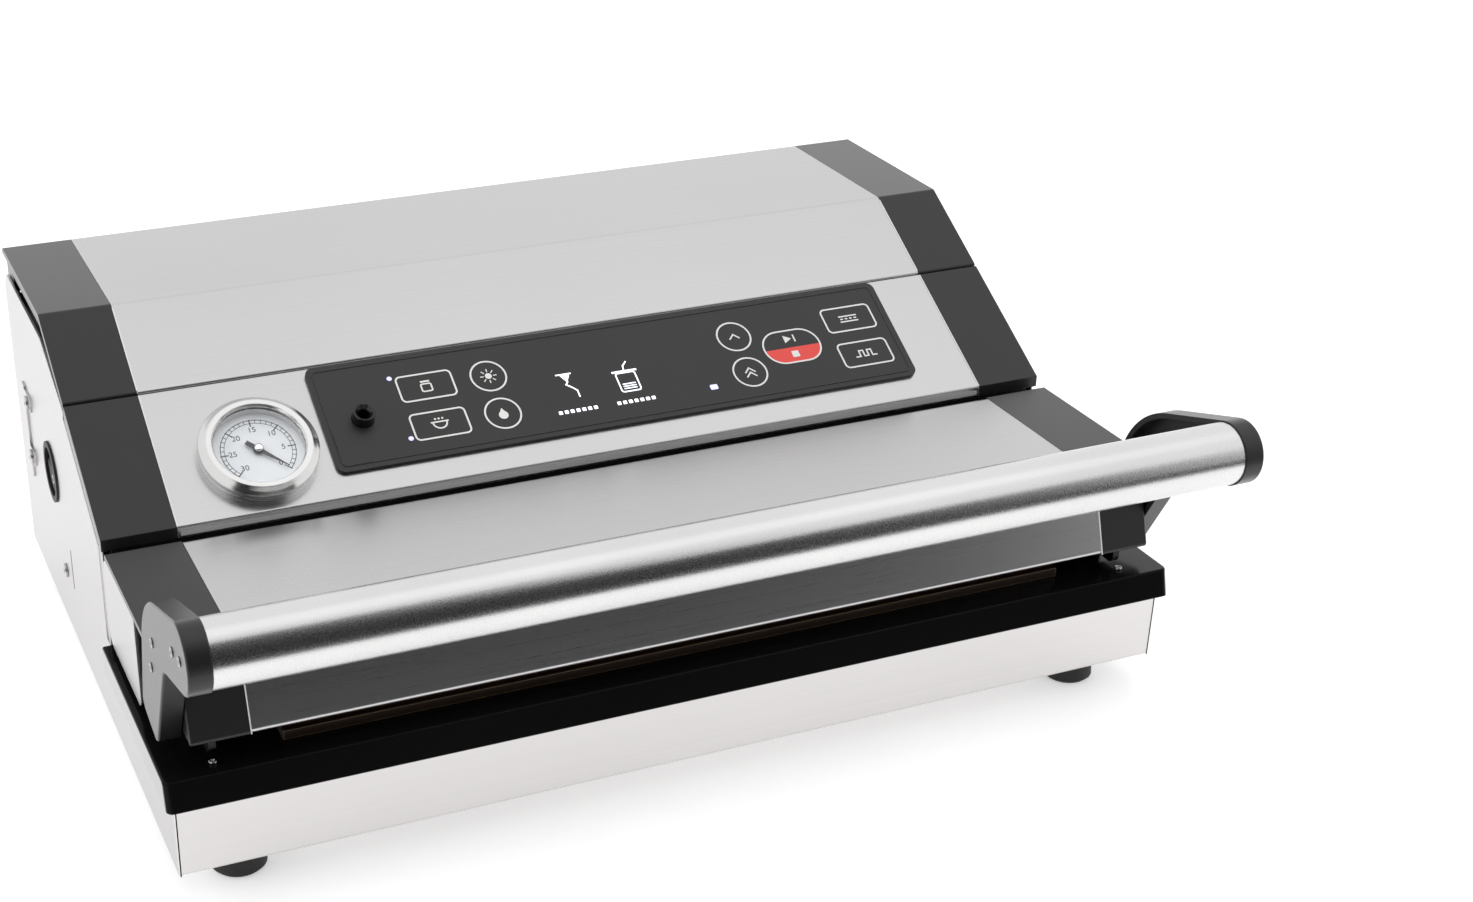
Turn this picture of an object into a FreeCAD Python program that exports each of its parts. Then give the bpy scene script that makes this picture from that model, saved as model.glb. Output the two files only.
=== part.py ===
"""Countertop vacuum sealer with a pull-down handle, a roll bay and a dial gauge.

Every solid is built with X from the middle, Y from the face of the front panel towards the back and
Z from the underside of the steel pan. At the end all of them are set down on the feet, with the
origin on the floor under the middle of the whole box.
"""
import FreeCAD, Part
import math
import os

V = FreeCAD.Vector

# Body box and sheet metal
body_width = 430.0
body_depth = 294.0
sheet = 1.2
seam = 0.1
pan_bend = 2.0
vent_count = 9
vent_pitch = 10.0
vent_width = 4.0
vent_length = 40.0
pan_vent_x = 10.0
pan_vent_y = 150.0
rear_vent_x = -110.0
rear_vent_z = 75.0

# Rubber feet
foot_height = 14.0
foot_radius = 11.0
foot_taper = 1.6
foot_inset_x = 27.0
foot_inset_y = 20.0

# Slope of the control face and roof above the roll bay
slope_angle = 30.0
slope_foot_y = 102.7
slope_foot_rise = 48.0
fascia_length = 66.4
roof_rise = 24.4
skin = 1.0
skin_bend = 3.0
strip_width = 30.5
strip_thickness = 3.0
strip_gap = 0.2
front_lip = 5.0
strip_lip_thickness = 1.7
skirt_thickness = 2.2
skirt_depth = 6.0
panel_gap = 0.4
joint_gap = 0.8

# Side and rear panels
panel_front_edge = 1.8
cover_reveal = 12.0
joint_reveal = 4.5
panel_corner = 7.0
step_width = 5.5
step_depth = 0.5
rear_panel_drop = 24.1

# Deck under the lid
deck_top = 43.0
deck_plate = 4.0
deck_overhang = 3.4
deck_skirt = 11.5
deck_skirt_wall = 2.2
deck_lip_reach = 4.6
deck_lip_draft = 3.2
deck_lip_gap = 0.3
deck_corner = 3.0
deck_edge = 1.0
deck_rear_gap = 0.5
deck_tongue = 4.5
tub_inset = 50.0
tub_front = 40.0
tub_rear_inset = 19.4
tub_depth = 17.0
tub_wall = 2.2
tub_corner = 6.0
nipple_radius = 3.4
nipple_bore = 2.0
nipple_length = 10.0

# Seal bar and gaskets
bar_inset = 45.4
bar_front = 11.3
bar_width = 10.0
bar_sink = 5.0
bar_rise = 3.2
bar_channel_wall = 2.0
element_width = 2.5
element_thickness = 0.3
element_pitch = 4.5
tape_thickness = 0.3
tape_drop = 3.0
soft_gap = 0.3
gasket_inset = 33.0
gasket_front = 29.0
gasket_rear_inset = 10.4
gasket_width = 7.0
gasket_corner = 14.0
gasket_groove = 2.0
gasket_rise = 6.8

# Lid
lid_top_drop = 3.0
lid_front_gap = 12.5
lid_lean = 11.0
lid_rear_gap = 5.3
lid_rear_fold = 6.0
lid_front_fold = 5.0
lid_wall = 2.5
lid_cap_edge = 0.8
lid_narrow_inset = 8.0
lid_step_y = 47.0
lid_strip_step_y = 32.0
lid_side_gap = 3.5
lid_cap_side_gap = 7.0
lid_plate_rear_gap = 1.7
lid_plate_corner = 6.0
lid_plate_thickness = 1.1
liner_rise = 14.0
liner_plate = 2.5
liner_side_gap = 0.4
liner_groove = 1.5
pad_bottom_gap = 0.3
pad_width = 8.0
pad_height = 5.6
rib_count = 5
rib_pitch = 60.0
rib_wall = 1.8
lid_hinge_inset = 9.4
lid_hinge_drop = 10.0
lid_hinge_pin = 3.0
hinge_boss = 6.5
hinge_boss_length = 8.0
hinge_bracket_inset = 17.0
hinge_bracket_wall = 3.0
hinge_bracket_foot = 10.0
bearing_gap = 0.5
running_gap = 0.05

# Handle
tube_radius = 12.7
tube_wall = 1.8
tube_inset = 7.5
tube_axis_y = -38.5
tube_rise = 41.2
arm_gap = 0.1
arm_thickness = 8.6
arm_nose = 13.2
arm_top_pitch = 18.5
arm_under_pitch = 15.0
arm_shoulder_y = 20.3
arm_shoulder_round = 40.0
arm_heel_y = 36.5
arm_heel_drop = 19.0
arm_heel_round = 5.0
arm_toe_y = 14.0
arm_toe_drop = 24.5
arm_toe_round = 4.0
arm_crook_y = -9.6
arm_crook_round = 6.0
arm_wall = 2.4
arm_face = 2.8
arm_edge = 1.0
spigot_length = 12.0
spigot_gap = 0.1
pivot_y = 17.0
pivot_drop = 13.0
pivot_radius = 4.0
pivot_boss = 7.5
pivot_boss_depth = 6.0
handle_travel = 36.0
hook_inset = 19.0
hook_wall = 3.0
hook_floor = 8.0
hook_hub = 6.5
hook_jaw = 3.0
hook_gap = 0.3
hook_rest = -92.0
hook_shank = 5.5
strike_radius = 2.5
strike_ear = 2.0
strike_ear_gap = 2.0
strike_foot = 10.0

# Roll cover, roll bay and bag cutter
cover_rear_gap = 4.0
cover_rear_drop = 21.1
cover_hinge_inset = 13.0
cover_hinge_drop = 15.6
cover_pin = 2.5
cover_ear = 6.5
cover_liner_wall = 2.0
cover_front_fold = 5.0
bay_rear_gap = 28.0
bay_ledge_lap = 3.27
bay_side = 14.0
bay_drop = 42.0
bay_wall = 2.0
bay_ledge_gap = 2.78
bay_inset = 29.0
bay_rim_inset = 6.0
ledge_drop = 12.0
ledge_length = 17.4
ledge_wall = 2.0
cutter_rail_width = 4.0
cutter_rail_height = 3.0
cutter_rail_inset = 7.0
cutter_inset = 65.0
cutter_length = 16.0
cutter_width = 10.0
cutter_height = 5.5
cutter_knob = 2.5
cutter_gap = 0.3

# Inner chassis
chassis_side_gap = 0.3
chassis_wall = 2.5
chassis_plate = 3.0
chassis_top_end = 0.4

# Control plate and keys
plate_gauge_gap = 4.5
plate_side_gap = 27.3
plate_top_margin = 0.8
plate_height = 54.5
plate_thickness = 1.6
plate_corner = 4.0
plate_seat = 1.6
plate_rim = 5.0
plate_seat_gap = 0.3
key_gap = 0.15
key_depth = 2.4
key_stem = 2.0
key_stem_length = 4.0
key_row_pitch = 20.1
key_row_shift = 1.25
key_left_inset = 49.0
key_left_pitch = 28.1
key_right_pitch = 25.0
key_capsule_pitch = 33.0
key_right_inset = 19.8
key_width = 25.2
key_height = 14.0
key_corner = 2.5
key_round = 8.2
key_capsule_width = 28.4
key_capsule_height = 18.4
key_travel = 0.5
board_left_inset = 29.3
board_right_inset = 7.2
board_margin = 3.0
board_depth = 10.0
board_thickness = 1.6
board_post = 3.0
switch_side = 6.0
switch_height = 3.4
switch_plunger = 1.7
port_inset = 17.5
port_drop = 30.6
port_radius = 4.6
port_height = 5.1
port_mouth = 3.9
port_flare = 1.6
port_bore = 2.5
port_barb = 3.8
port_barb_length = 14.0
port_gap = 0.2
port_edge = 0.4

# Dial gauge
gauge_side_gap = 15.8
gauge_drop = 38.1
gauge_bezel_radius = 24.8
gauge_window = 18.7
gauge_height = 8.0
gauge_flange = 2.8
gauge_groove = 0.7
gauge_case_radius = 20.0
gauge_case_depth = 22.0
gauge_case_wall = 1.2
gauge_hole_gap = 0.3
gauge_dial_height = 1.6
gauge_dial_thickness = 0.8
gauge_lens_thickness = 1.6
gauge_lens_drop = 1.4
gauge_lens_seat = 0.8
gauge_stem = 4.5
gauge_stem_length = 9.0
needle_height = 2.6
needle_thickness = 0.6
needle_length = 14.5
needle_tail = 6.0
needle_width = 1.8
needle_hub = 2.2
needle_shaft = 0.8
needle_rest = -45.0

# Inner works
pump_left = 35.0
pump_length = 55.0
pump_slope_gap = 19.3
pump_width = 48.0
pump_height = 56.0
pump_head = 15.0
pump_head_height = 22.0
pump_fins = 4
pump_fin_reach = 3.0
motor_radius = 20.0
motor_length = 78.0
motor_axis_z = 30.0
motor_saddle = 26.0
valve_left = 112.0
valve_width = 24.0
valve_slope_gap = 21.3
valve_length = 34.0
valve_height = 26.0
valve_coil = 9.0
transformer_left = -60.0
transformer_width = 66.0
transformer_rear_gap = 36.0
transformer_length = 54.0
transformer_height = 46.0
transformer_coil = 8.0
transformer_window = 12.0
hose_radius = 5.5
hose_grip = 8.0

# Mains inlet and switch
inlet_inset = 65.0
inlet_z = 40.0
inlet_width = 27.0
inlet_height = 20.0
inlet_depth = 24.0
inlet_wall = 1.6
inlet_flange = 4.0
inlet_flange_thickness = 1.5
inlet_pin_length = 10.0
inlet_pin_width = 4.0
inlet_pin_thickness = 2.0
inlet_pin_pitch = 7.0
inlet_pin_rise = 4.0
switch_inset = 83.0
switch_z = 72.0
switch_radius = 12.4
switch_flange = 13.6
switch_flange_thickness = 1.0
switch_hole_gap = 0.2
switch_bore = 11.0
switch_depth = 20.0
rocker_radius = 9.8
rocker_depth = 8.0
rocker_tilt = 12.0
rocker_axle = 1.5
rocker_pivot_depth = 5.0

# Sizes that follow from the ones above
slope = math.radians(slope_angle)
half = body_width / 2
inner_half = half - sheet
strip_inner = half - strip_width
skin_half = strip_inner - strip_gap
skirt_outer = inner_half - panel_gap
skirt_inner = skirt_outer - skirt_thickness
cover_start = fascia_length + joint_gap
slope_foot_z = deck_top + slope_foot_rise
roof_z = slope_foot_z + fascia_length * math.sin(slope) + roof_rise
deck_half = half + deck_overhang
deck_rear = slope_foot_y + panel_front_edge - deck_rear_gap
pan_wall_top = deck_top - deck_plate - seam
tub_floor = deck_top - tub_depth
bar_floor = deck_top - bar_sink
bar_top = deck_top + bar_rise
bar_rear = bar_front + bar_width
bar_middle = bar_front + bar_width / 2
gasket_meeting = deck_top + gasket_rise
lid_top = slope_foot_z - lid_top_drop
lid_front_bottom = deck_top + lid_front_gap
lid_side_bottom = deck_top + lid_side_gap
lid_cap_side_bottom = deck_top + lid_cap_side_gap
liner_bottom = deck_top + liner_rise
pivot_z = lid_top - pivot_drop
tube_axis_z = pivot_z + tube_rise
arm_heel_z = pivot_z - arm_heel_drop
arm_toe_z = pivot_z - arm_toe_drop
lid_rear_y = slope_foot_y - lid_rear_gap
lid_plate_rear_y = slope_foot_y - lid_plate_rear_gap
lid_hinge_y = lid_rear_y - lid_hinge_inset
lid_hinge_z = lid_top - lid_hinge_drop
gasket_rear = lid_rear_y - gasket_rear_inset
tub_rear = lid_rear_y - tub_rear_inset
tub_half_length = half - tub_inset
bar_half_length = half - bar_inset
gasket_half_length = half - gasket_inset
lid_narrow_half = half - lid_narrow_inset
hinge_bracket_x = half - hinge_bracket_inset
hook_x = half - hook_inset
hook_reach = pivot_z - deck_top - hook_floor
tube_half_length = half - tube_inset
arm_inner = tube_half_length + arm_gap
arm_outer = arm_inner + arm_thickness
bay_half_length = half - bay_inset
bay_rim_half = half - bay_rim_inset
cutter_travel = 2 * (half - cutter_inset)
ledge_end = fascia_length + ledge_length
ledge_tip_y = slope_foot_y + ledge_end * math.cos(slope) + ledge_drop * math.sin(slope)
ledge_under = slope_foot_z + ledge_end * math.sin(slope) - (ledge_drop + ledge_wall) * math.cos(slope)
bay_front = ledge_tip_y - bay_ledge_lap
bay_rear = body_depth - bay_rear_gap
bay_axis_y = (bay_front + bay_rear) / 2
bay_half_width = (bay_rear - bay_front) / 2 - bay_wall
bay_top = ledge_under - bay_ledge_gap
bay_axis_z = bay_top - bay_side
cover_rear_y = body_depth - cover_rear_gap
cover_rear_bottom = roof_z - cover_rear_drop
cover_hinge_y = body_depth - cover_hinge_inset
cover_hinge_z = roof_z - cover_hinge_drop
rear_panel_top = roof_z - rear_panel_drop
pump_front = slope_foot_y + pump_slope_gap
valve_front = slope_foot_y + valve_slope_gap
transformer_front = body_depth - transformer_rear_gap - transformer_length
inlet_x = half - inlet_inset
switch_y = body_depth - switch_inset
chassis_half = skirt_inner - chassis_side_gap
gauge_x = gauge_side_gap + gauge_bezel_radius - strip_inner
plate_left = gauge_x + gauge_bezel_radius + plate_gauge_gap
plate_right = strip_inner - plate_side_gap
port_x = plate_left + port_inset
key_left_x = plate_left + key_left_inset
key_left_round_x = key_left_x + key_left_pitch
key_right_x = plate_right - key_right_inset
key_capsule_x = key_right_x - key_capsule_pitch
key_right_round_x = key_capsule_x - key_right_pitch
key_row_middle = plate_top_margin + plate_height / 2 + key_row_shift
key_row_upper = key_row_middle - key_row_pitch / 2
key_row_lower = key_row_middle + key_row_pitch / 2
board_left = plate_left + board_left_inset
board_right = plate_right - board_right_inset
slope_turn = FreeCAD.Rotation(V(1, 0, 0), slope_angle)


def slope_point(along, height):
    """Return (y, z) of a point on the slope: along it from its foot, and above it."""
    y = slope_foot_y + along * math.cos(slope) - height * math.sin(slope)
    z = slope_foot_z + along * math.sin(slope) + height * math.cos(slope)
    return y, z


def slope_height_at(y, height):
    """Return z, above the given y, of the plane that lies a height above the slope."""
    return slope_foot_z + (y - slope_foot_y) * math.tan(slope) + height / math.cos(slope)


def on_slope(shape):
    """Set a solid, built flat with Y up the slope and Z out of it, onto the slope."""
    seat = FreeCAD.Placement(V(0, slope_foot_y, slope_foot_z), slope_turn)
    shape.Placement = seat.multiply(shape.Placement)
    return shape


def block(x0, x1, y0, y1, z0, z1):
    """Return a box between two corners."""
    return Part.makeBox(x1 - x0, y1 - y0, z1 - z0, V(x0, y0, z0))


def rod(radius, start, direction, length):
    """Return a cylinder from a start point along a direction."""
    return Part.makeCylinder(radius, length, start, direction)


def rod_x(radius, x0, x1, y, z):
    """Return a cylinder along X between two positions."""
    return Part.makeCylinder(radius, x1 - x0, V(x0, y, z), V(1, 0, 0))


def corner_arc(before, corner, after, radius):
    """Return the tangent points and middle point of an arc that rounds a corner in the YZ plane."""
    first = V(0, before[0] - corner[0], before[1] - corner[1]).normalize()
    second = V(0, after[0] - corner[0], after[1] - corner[1]).normalize()
    half_angle = first.getAngle(second) / 2
    reach = radius / math.tan(half_angle)
    tip = V(0, corner[0], corner[1])
    centre = tip + (first + second).normalize() * (radius / math.sin(half_angle))
    middle = centre + (tip - centre).normalize() * radius
    return tip + first * reach, middle, tip + second * reach


def outline(points):
    """Return a closed face in the YZ plane from (y, z, corner radius) points."""
    edges = []
    stops = []
    for i, point in enumerate(points):
        before = points[i - 1]
        after = points[(i + 1) % len(points)]
        if point[2] > seam / 100:
            start, middle, end = corner_arc(before, point, after, point[2])
            edges.append(Part.Arc(start, middle, end).toShape())
            stops.append((start, end))
        else:
            corner = V(0, point[0], point[1])
            edges.append(None)
            stops.append((corner, corner))
    chain = []
    for i, edge in enumerate(edges):
        if edge:
            chain.append(edge)
        start = stops[i][1]
        end = stops[(i + 1) % len(points)][0]
        if start.distanceToPoint(end) > seam / 100:
            chain.append(Part.makeLine(start, end))
    return Part.Face(Part.Wire(chain))


def prism(points, x0, x1):
    """Return a solid of one side outline between two X positions; corners may be rounded."""
    rounded = [point if len(point) == 3 else (point[0], point[1], 0) for point in points]
    face = outline(rounded)
    face.translate(V(x0, 0, 0))
    return face.extrude(V(x1 - x0, 0, 0))


def offset_path(path, inward):
    """Return an open side path moved to its right-hand side, with its bends tightened."""
    moved = []
    for i, point in enumerate(path):
        normals = []
        for start, end in ((i - 1, i), (i, i + 1)):
            if start >= 0 and end < len(path):
                run = V(0, path[end][0] - path[start][0], path[end][1] - path[start][1]).normalize()
                normals.append(V(0, run.z, -run.y))
        bisector = normals[0] + normals[-1]
        bisector.normalize()
        reach = inward / bisector.dot(normals[0])
        radius = max(point[2] - inward, 0) if point[2] else 0
        moved.append((point[0] + bisector.y * reach, point[1] + bisector.z * reach, radius))
    return moved


def bent_sheet(path, thickness, x0, x1):
    """Return a sheet whose outer face follows a side path, with its thickness to the right."""
    inner = offset_path(path, thickness)
    return prism(list(path) + inner[::-1], x0, x1)


def rounded_block(x0, x1, y0, y1, z0, z1, radius):
    """Return a box whose four upright edges are rounded."""
    solid = block(x0, x1, y0, y1, z0, z1)
    upright = [edge for edge in solid.Edges if abs(edge.tangentAt(edge.FirstParameter).z) > 0.9]
    return solid.makeFillet(radius, upright)


def ring(half_length, front, rear, width, corner, z0, z1):
    """Return a rounded rectangular ring lying flat."""
    outer = rounded_block(-half_length, half_length, front, rear, z0, z1, corner)
    inner = rounded_block(
        -half_length + width, half_length - width, front + width, rear - width, z0, z1, corner - width
    )
    return outer.cut(inner)


def revolve(points, centre):
    """Return a turned solid about an axis through a centre, from (radius, height) points."""
    corners = [V(radius, 0, height) for radius, height in points]
    face = Part.Face(Part.makePolygon(corners + corners[:1]))
    solid = face.revolve(V(0, 0, 0), V(0, 0, 1), 360)
    solid.translate(centre)
    return solid


def mirrored(shape):
    """Return the same piece for the other side."""
    return shape.mirror(V(0, 0, 0), V(1, 0, 0))


def both_sides(shape):
    """Return a group of a piece and its mirror image."""
    return Part.makeCompound([mirrored(shape), shape])


def vent_row(x, y0, y1, z0, z1):
    """Return the cutters for a row of slots spaced along X about a middle."""
    first = x - (vent_count - 1) * vent_pitch / 2
    middles = [first + i * vent_pitch for i in range(vent_count)]
    return [block(m - vent_width / 2, m + vent_width / 2, y0, y1, z0, z1) for m in middles]


# Steel body

def base_pan():
    """Bottom sheet folded up into the front panel, with cooling slots under the pump."""
    floor_half = inner_half - seam
    floor = block(-floor_half, floor_half, 0, body_depth - sheet - seam, 0, sheet)
    wall = block(-half, half, 0, sheet, 0, pan_wall_top)
    pan = floor.fuse(wall).removeSplitter()
    fold = [
        edge for edge in pan.Edges
        if edge.BoundBox.YMax < seam and edge.BoundBox.ZMax < seam and edge.Length > body_width / 2
    ]
    pan = pan.makeFillet(pan_bend, fold)
    slot_front = pan_vent_y - vent_length / 2
    return pan.cut(vent_row(pan_vent_x, slot_front, slot_front + vent_length, -sheet, 2 * sheet))


def panel_outline():
    """Side panel profile: low along the deck, up the control face, then lower under the cover."""
    front = sheet + seam
    rear = body_depth - sheet - seam
    upright = slope_foot_y + panel_front_edge
    under_strip = -(strip_thickness + seam)
    roof = roof_z - cover_reveal
    bend = (roof - slope_foot_z + cover_reveal * math.cos(slope)) / math.sin(slope)
    return [
        (front, 0),
        (rear, 0),
        (rear, roof - panel_corner),
        (rear - panel_corner, roof),
        slope_point(bend, -cover_reveal),
        slope_point(cover_start, -joint_reveal),
        slope_point(cover_start, under_strip),
        (upright, slope_height_at(upright, under_strip)),
        (upright, pan_wall_top),
        (front, pan_wall_top),
    ]


def side_panel():
    """Right side panel with its stepped edge and the stud that the roll cover turns on."""
    panel = prism(panel_outline(), inner_half, half)
    upright = slope_foot_y + panel_front_edge
    under_strip = -(strip_thickness + seam)
    step = [
        slope_point(cover_start, under_strip + seam),
        slope_point(cover_start, under_strip - step_width),
        (upright + step_width, slope_height_at(upright + step_width, under_strip - step_width)),
        (upright + step_width, deck_top),
        (upright - seam, deck_top),
        (upright - seam, slope_height_at(upright - seam, under_strip + seam)),
    ]
    panel = panel.cut(prism(step, half - step_depth, half + step_depth))
    stud_start = skirt_inner - skirt_thickness
    stud = rod(cover_pin, V(stud_start, cover_hinge_y, cover_hinge_z), V(1, 0, 0), inner_half - stud_start)
    return panel.fuse(stud)


def side_panel_left():
    """Left side panel, with the hole for the mains switch."""
    hole = rod(switch_radius + switch_hole_gap, V(-half - sheet, switch_y, switch_z), V(1, 0, 0), 3 * sheet)
    return mirrored(side_panel()).cut(hole)


def rear_panel():
    """Back sheet with slots and the cut-out of the mains inlet."""
    inner = body_depth - sheet
    panel = block(-half, half, inner, body_depth, 0, rear_panel_top)
    slots = vent_row(
        rear_vent_x, inner - sheet, body_depth + sheet,
        rear_vent_z - vent_length / 2, rear_vent_z + vent_length / 2,
    )
    window = block(
        inlet_x - inlet_width / 2 - seam, inlet_x + inlet_width / 2 + seam, inner - sheet, body_depth + sheet,
        inlet_z - inlet_height / 2 - seam, inlet_z + inlet_height / 2 + seam,
    )
    return panel.cut(slots + [window])


def rubber_feet():
    """Four turned feet under the pan's corners."""
    profile = [
        (0, -foot_height),
        (foot_radius - foot_taper, -foot_height),
        (foot_radius, -foot_height + foot_taper),
        (foot_radius - foot_taper / 2, 0),
        (0, 0),
    ]
    x = half - foot_inset_x
    rows = (foot_inset_y, body_depth - foot_inset_y)
    return Part.makeCompound([revolve(profile, V(side * x, y, 0)) for y in rows for side in (-1, 1)])


# Deck, seal bar and gaskets

def deck():
    """Moulded black deck: overhanging lip, bar channel, gasket groove and vacuum tub."""
    skirt_bottom = deck_top - deck_skirt
    lip_top = deck_lip_reach - deck_lip_draft
    section = [
        (-deck_lip_reach, skirt_bottom),
        (-lip_top, deck_top),
        (deck_rear, deck_top),
        (deck_rear, skirt_bottom),
    ]
    shell = prism(section, -deck_half, deck_half)
    corners = [
        edge for edge in shell.Edges
        if edge.BoundBox.YMax < 0 and edge.BoundBox.ZLength > deck_skirt / 2
    ]
    shell = shell.makeFillet(deck_corner, corners)
    rim = [
        edge for edge in shell.Edges
        if edge.BoundBox.ZMin > deck_top - seam and edge.BoundBox.YMin < deck_rear - seam
    ]
    shell = shell.makeFillet(deck_edge, rim)
    hollow_half = deck_half - deck_skirt_wall
    under = deck_top - deck_plate
    hollow = block(-hollow_half, hollow_half, -deck_lip_gap, deck_rear + sheet, skirt_bottom - sheet, under)
    shell = shell.cut(hollow)
    tongue_half = inner_half - panel_gap
    tongue = block(-tongue_half, tongue_half, deck_rear - sheet, deck_rear + deck_tongue, under, deck_top)
    channel = block(
        -bar_half_length - bar_channel_wall, bar_half_length + bar_channel_wall,
        bar_front - bar_channel_wall, bar_rear + bar_channel_wall, bar_floor - bar_channel_wall, under,
    )
    tub = rounded_block(
        -tub_half_length - tub_wall, tub_half_length + tub_wall, tub_front - tub_wall, tub_rear + tub_wall,
        tub_floor - tub_wall, under, tub_corner + tub_wall,
    )
    nipple_z = (tub_floor + under) / 2
    nipple = rod(nipple_radius, V(pump_middle(), tub_rear, nipple_z), V(0, 1, 0), tub_wall + nipple_length)
    shell = shell.fuse([tongue, channel, tub, nipple])
    pocket_half = bar_half_length + seam
    bar_pocket = block(
        -pocket_half, pocket_half, bar_front - seam, bar_rear + seam, bar_floor, deck_top + sheet
    )
    tub_pocket = rounded_block(
        -tub_half_length, tub_half_length, tub_front, tub_rear, tub_floor, deck_top + sheet, tub_corner
    )
    groove = ring(
        gasket_half_length + seam, gasket_front - seam, gasket_rear + seam, gasket_width + 2 * seam,
        gasket_corner + seam, deck_top - gasket_groove, deck_top + sheet,
    )
    suction_start = V(pump_middle(), tub_rear - seam, nipple_z)
    suction = rod(nipple_bore, suction_start, V(0, 1, 0), tub_wall + 2 * nipple_length)
    return shell.cut([bar_pocket, tub_pocket, groove, suction])


def pump_middle():
    """Return X of the suction line, in line with the pump."""
    return pump_left + pump_length / 2


def seal_bar():
    """Heated bar that stands in the deck's channel."""
    return block(-bar_half_length, bar_half_length, bar_front, bar_rear, bar_floor, bar_top)


def heating_element():
    """Two flat resistance strips for a double seal."""
    reach = bar_half_length - element_width
    middles = (bar_middle - element_pitch / 2, bar_middle + element_pitch / 2)
    return Part.makeCompound([
        block(
            -reach, reach, y - element_width / 2, y + element_width / 2, bar_top, bar_top + element_thickness
        )
        for y in middles
    ])


def seal_tape():
    """Non-stick tape folded over the bar and its strips."""
    inner_top = bar_top + element_thickness + seam
    front = bar_front - seam
    rear = bar_rear + seam
    path = [
        (front - tape_thickness, bar_top - tape_drop, 0),
        (front - tape_thickness, inner_top + tape_thickness, 0),
        (rear + tape_thickness, inner_top + tape_thickness, 0),
        (rear + tape_thickness, bar_top - tape_drop, 0),
    ]
    tape = bent_sheet(path, tape_thickness, -bar_half_length, bar_half_length)
    above_deck = block(-half, half, 0, lid_step_y, deck_top + seam, lid_top)
    return tape.common(above_deck)


def tape_top():
    """Return Z of the tape's upper face."""
    return bar_top + element_thickness + seam + tape_thickness


def lower_gasket():
    """Foam ring in the deck's groove."""
    return ring(
        gasket_half_length, gasket_front, gasket_rear, gasket_width, gasket_corner,
        deck_top - gasket_groove, gasket_meeting - soft_gap,
    )


def latch_strikes():
    """Steel ears on the deck, each with the pin that a latch hook closes on."""
    y, z = strike_position()
    ear_x = hook_x + hook_wall + strike_ear_gap
    ear = prism(
        [
            (y - strike_foot / 2, deck_top),
            (y + strike_foot / 2, deck_top),
            (y + strike_radius * 2, z + strike_radius * 2, strike_radius),
            (y - strike_radius * 2, z + strike_radius * 2, strike_radius),
        ],
        ear_x, ear_x + strike_ear,
    )
    pin_start = hook_x - strike_ear_gap
    pin = rod(strike_radius, V(pin_start, y, z), V(1, 0, 0), ear_x - pin_start + strike_ear)
    return both_sides(ear.fuse(pin))


def strike_position():
    """Return (y, z) of the strike pins, where the hook's throat ends with the handle down."""
    turn = math.radians(hook_rest + handle_travel)
    return pivot_y + hook_reach * math.cos(turn), pivot_z + hook_reach * math.sin(turn)


def lid_hinge_brackets():
    """Steel uprights on the deck, each with the pin that the lid turns on."""
    x0 = hinge_bracket_x
    x1 = hinge_bracket_x + hinge_bracket_wall
    wide = 2 * lid_hinge_pin
    front = lid_hinge_y - wide
    rear = lid_hinge_y + wide
    upright = block(x0, x1, front, rear, deck_top, lid_hinge_z)
    crown = rod_x(wide, x0, x1, lid_hinge_y, lid_hinge_z)
    foot_plate = block(x0 - hinge_bracket_foot, x1, front, rear, deck_top, deck_top + hinge_bracket_wall)
    pin = rod_x(lid_hinge_pin, x0, x1 + bearing_gap + hinge_boss_length, lid_hinge_y, lid_hinge_z)
    return both_sides(upright.fuse([crown, foot_plate, pin]))


# Lid

def lid_path():
    """Outer side path of the lid: under the front, up its leaning face, along the top, down the back."""
    return [
        (lid_front_fold, lid_front_bottom, 0),
        (0, lid_front_bottom, skin_bend / 2),
        (lid_lean, lid_top, skin_bend),
        (lid_rear_y, lid_top, skin_bend),
        (lid_rear_y, lid_top - lid_rear_fold, 0),
    ]


def lid_skin():
    """Brushed sheet folded over the lid's front and top."""
    return bent_sheet(lid_path(), skin, -skin_half, skin_half)


def lid_inner_section(depth):
    """Closed side outline of the lid's inside, at a depth below its outer face."""
    inner = offset_path(lid_path()[1:4], depth)
    bottom = liner_bottom + liner_plate + seam
    front, top_front, top_rear = [(point[0], point[1]) for point in inner]
    lean = (top_front[0] - front[0]) / (top_front[1] - front[1])
    return [
        (front[0] + lean * (bottom - front[1]), bottom),
        top_front,
        (top_rear[0] - depth, top_rear[1]),
        (top_rear[0] - depth, bottom),
    ]


def lid_frame():
    """Black moulding under the lid's skin, with end walls and cross ribs."""
    path = offset_path(lid_path(), skin)
    frame_half = strip_inner - strip_gap
    frame = bent_sheet(path, lid_wall, -frame_half, frame_half)
    section = lid_inner_section(skin + lid_wall - seam)
    end_wall = prism(section, frame_half - lid_wall, frame_half)
    first = -(rib_count - 1) * rib_pitch / 2
    ribs = [
        prism(section, first + i * rib_pitch - rib_wall / 2, first + i * rib_pitch + rib_wall / 2)
        for i in range(rib_count)
    ]
    return frame.fuse([end_wall, mirrored(end_wall)] + ribs).removeSplitter()


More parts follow.
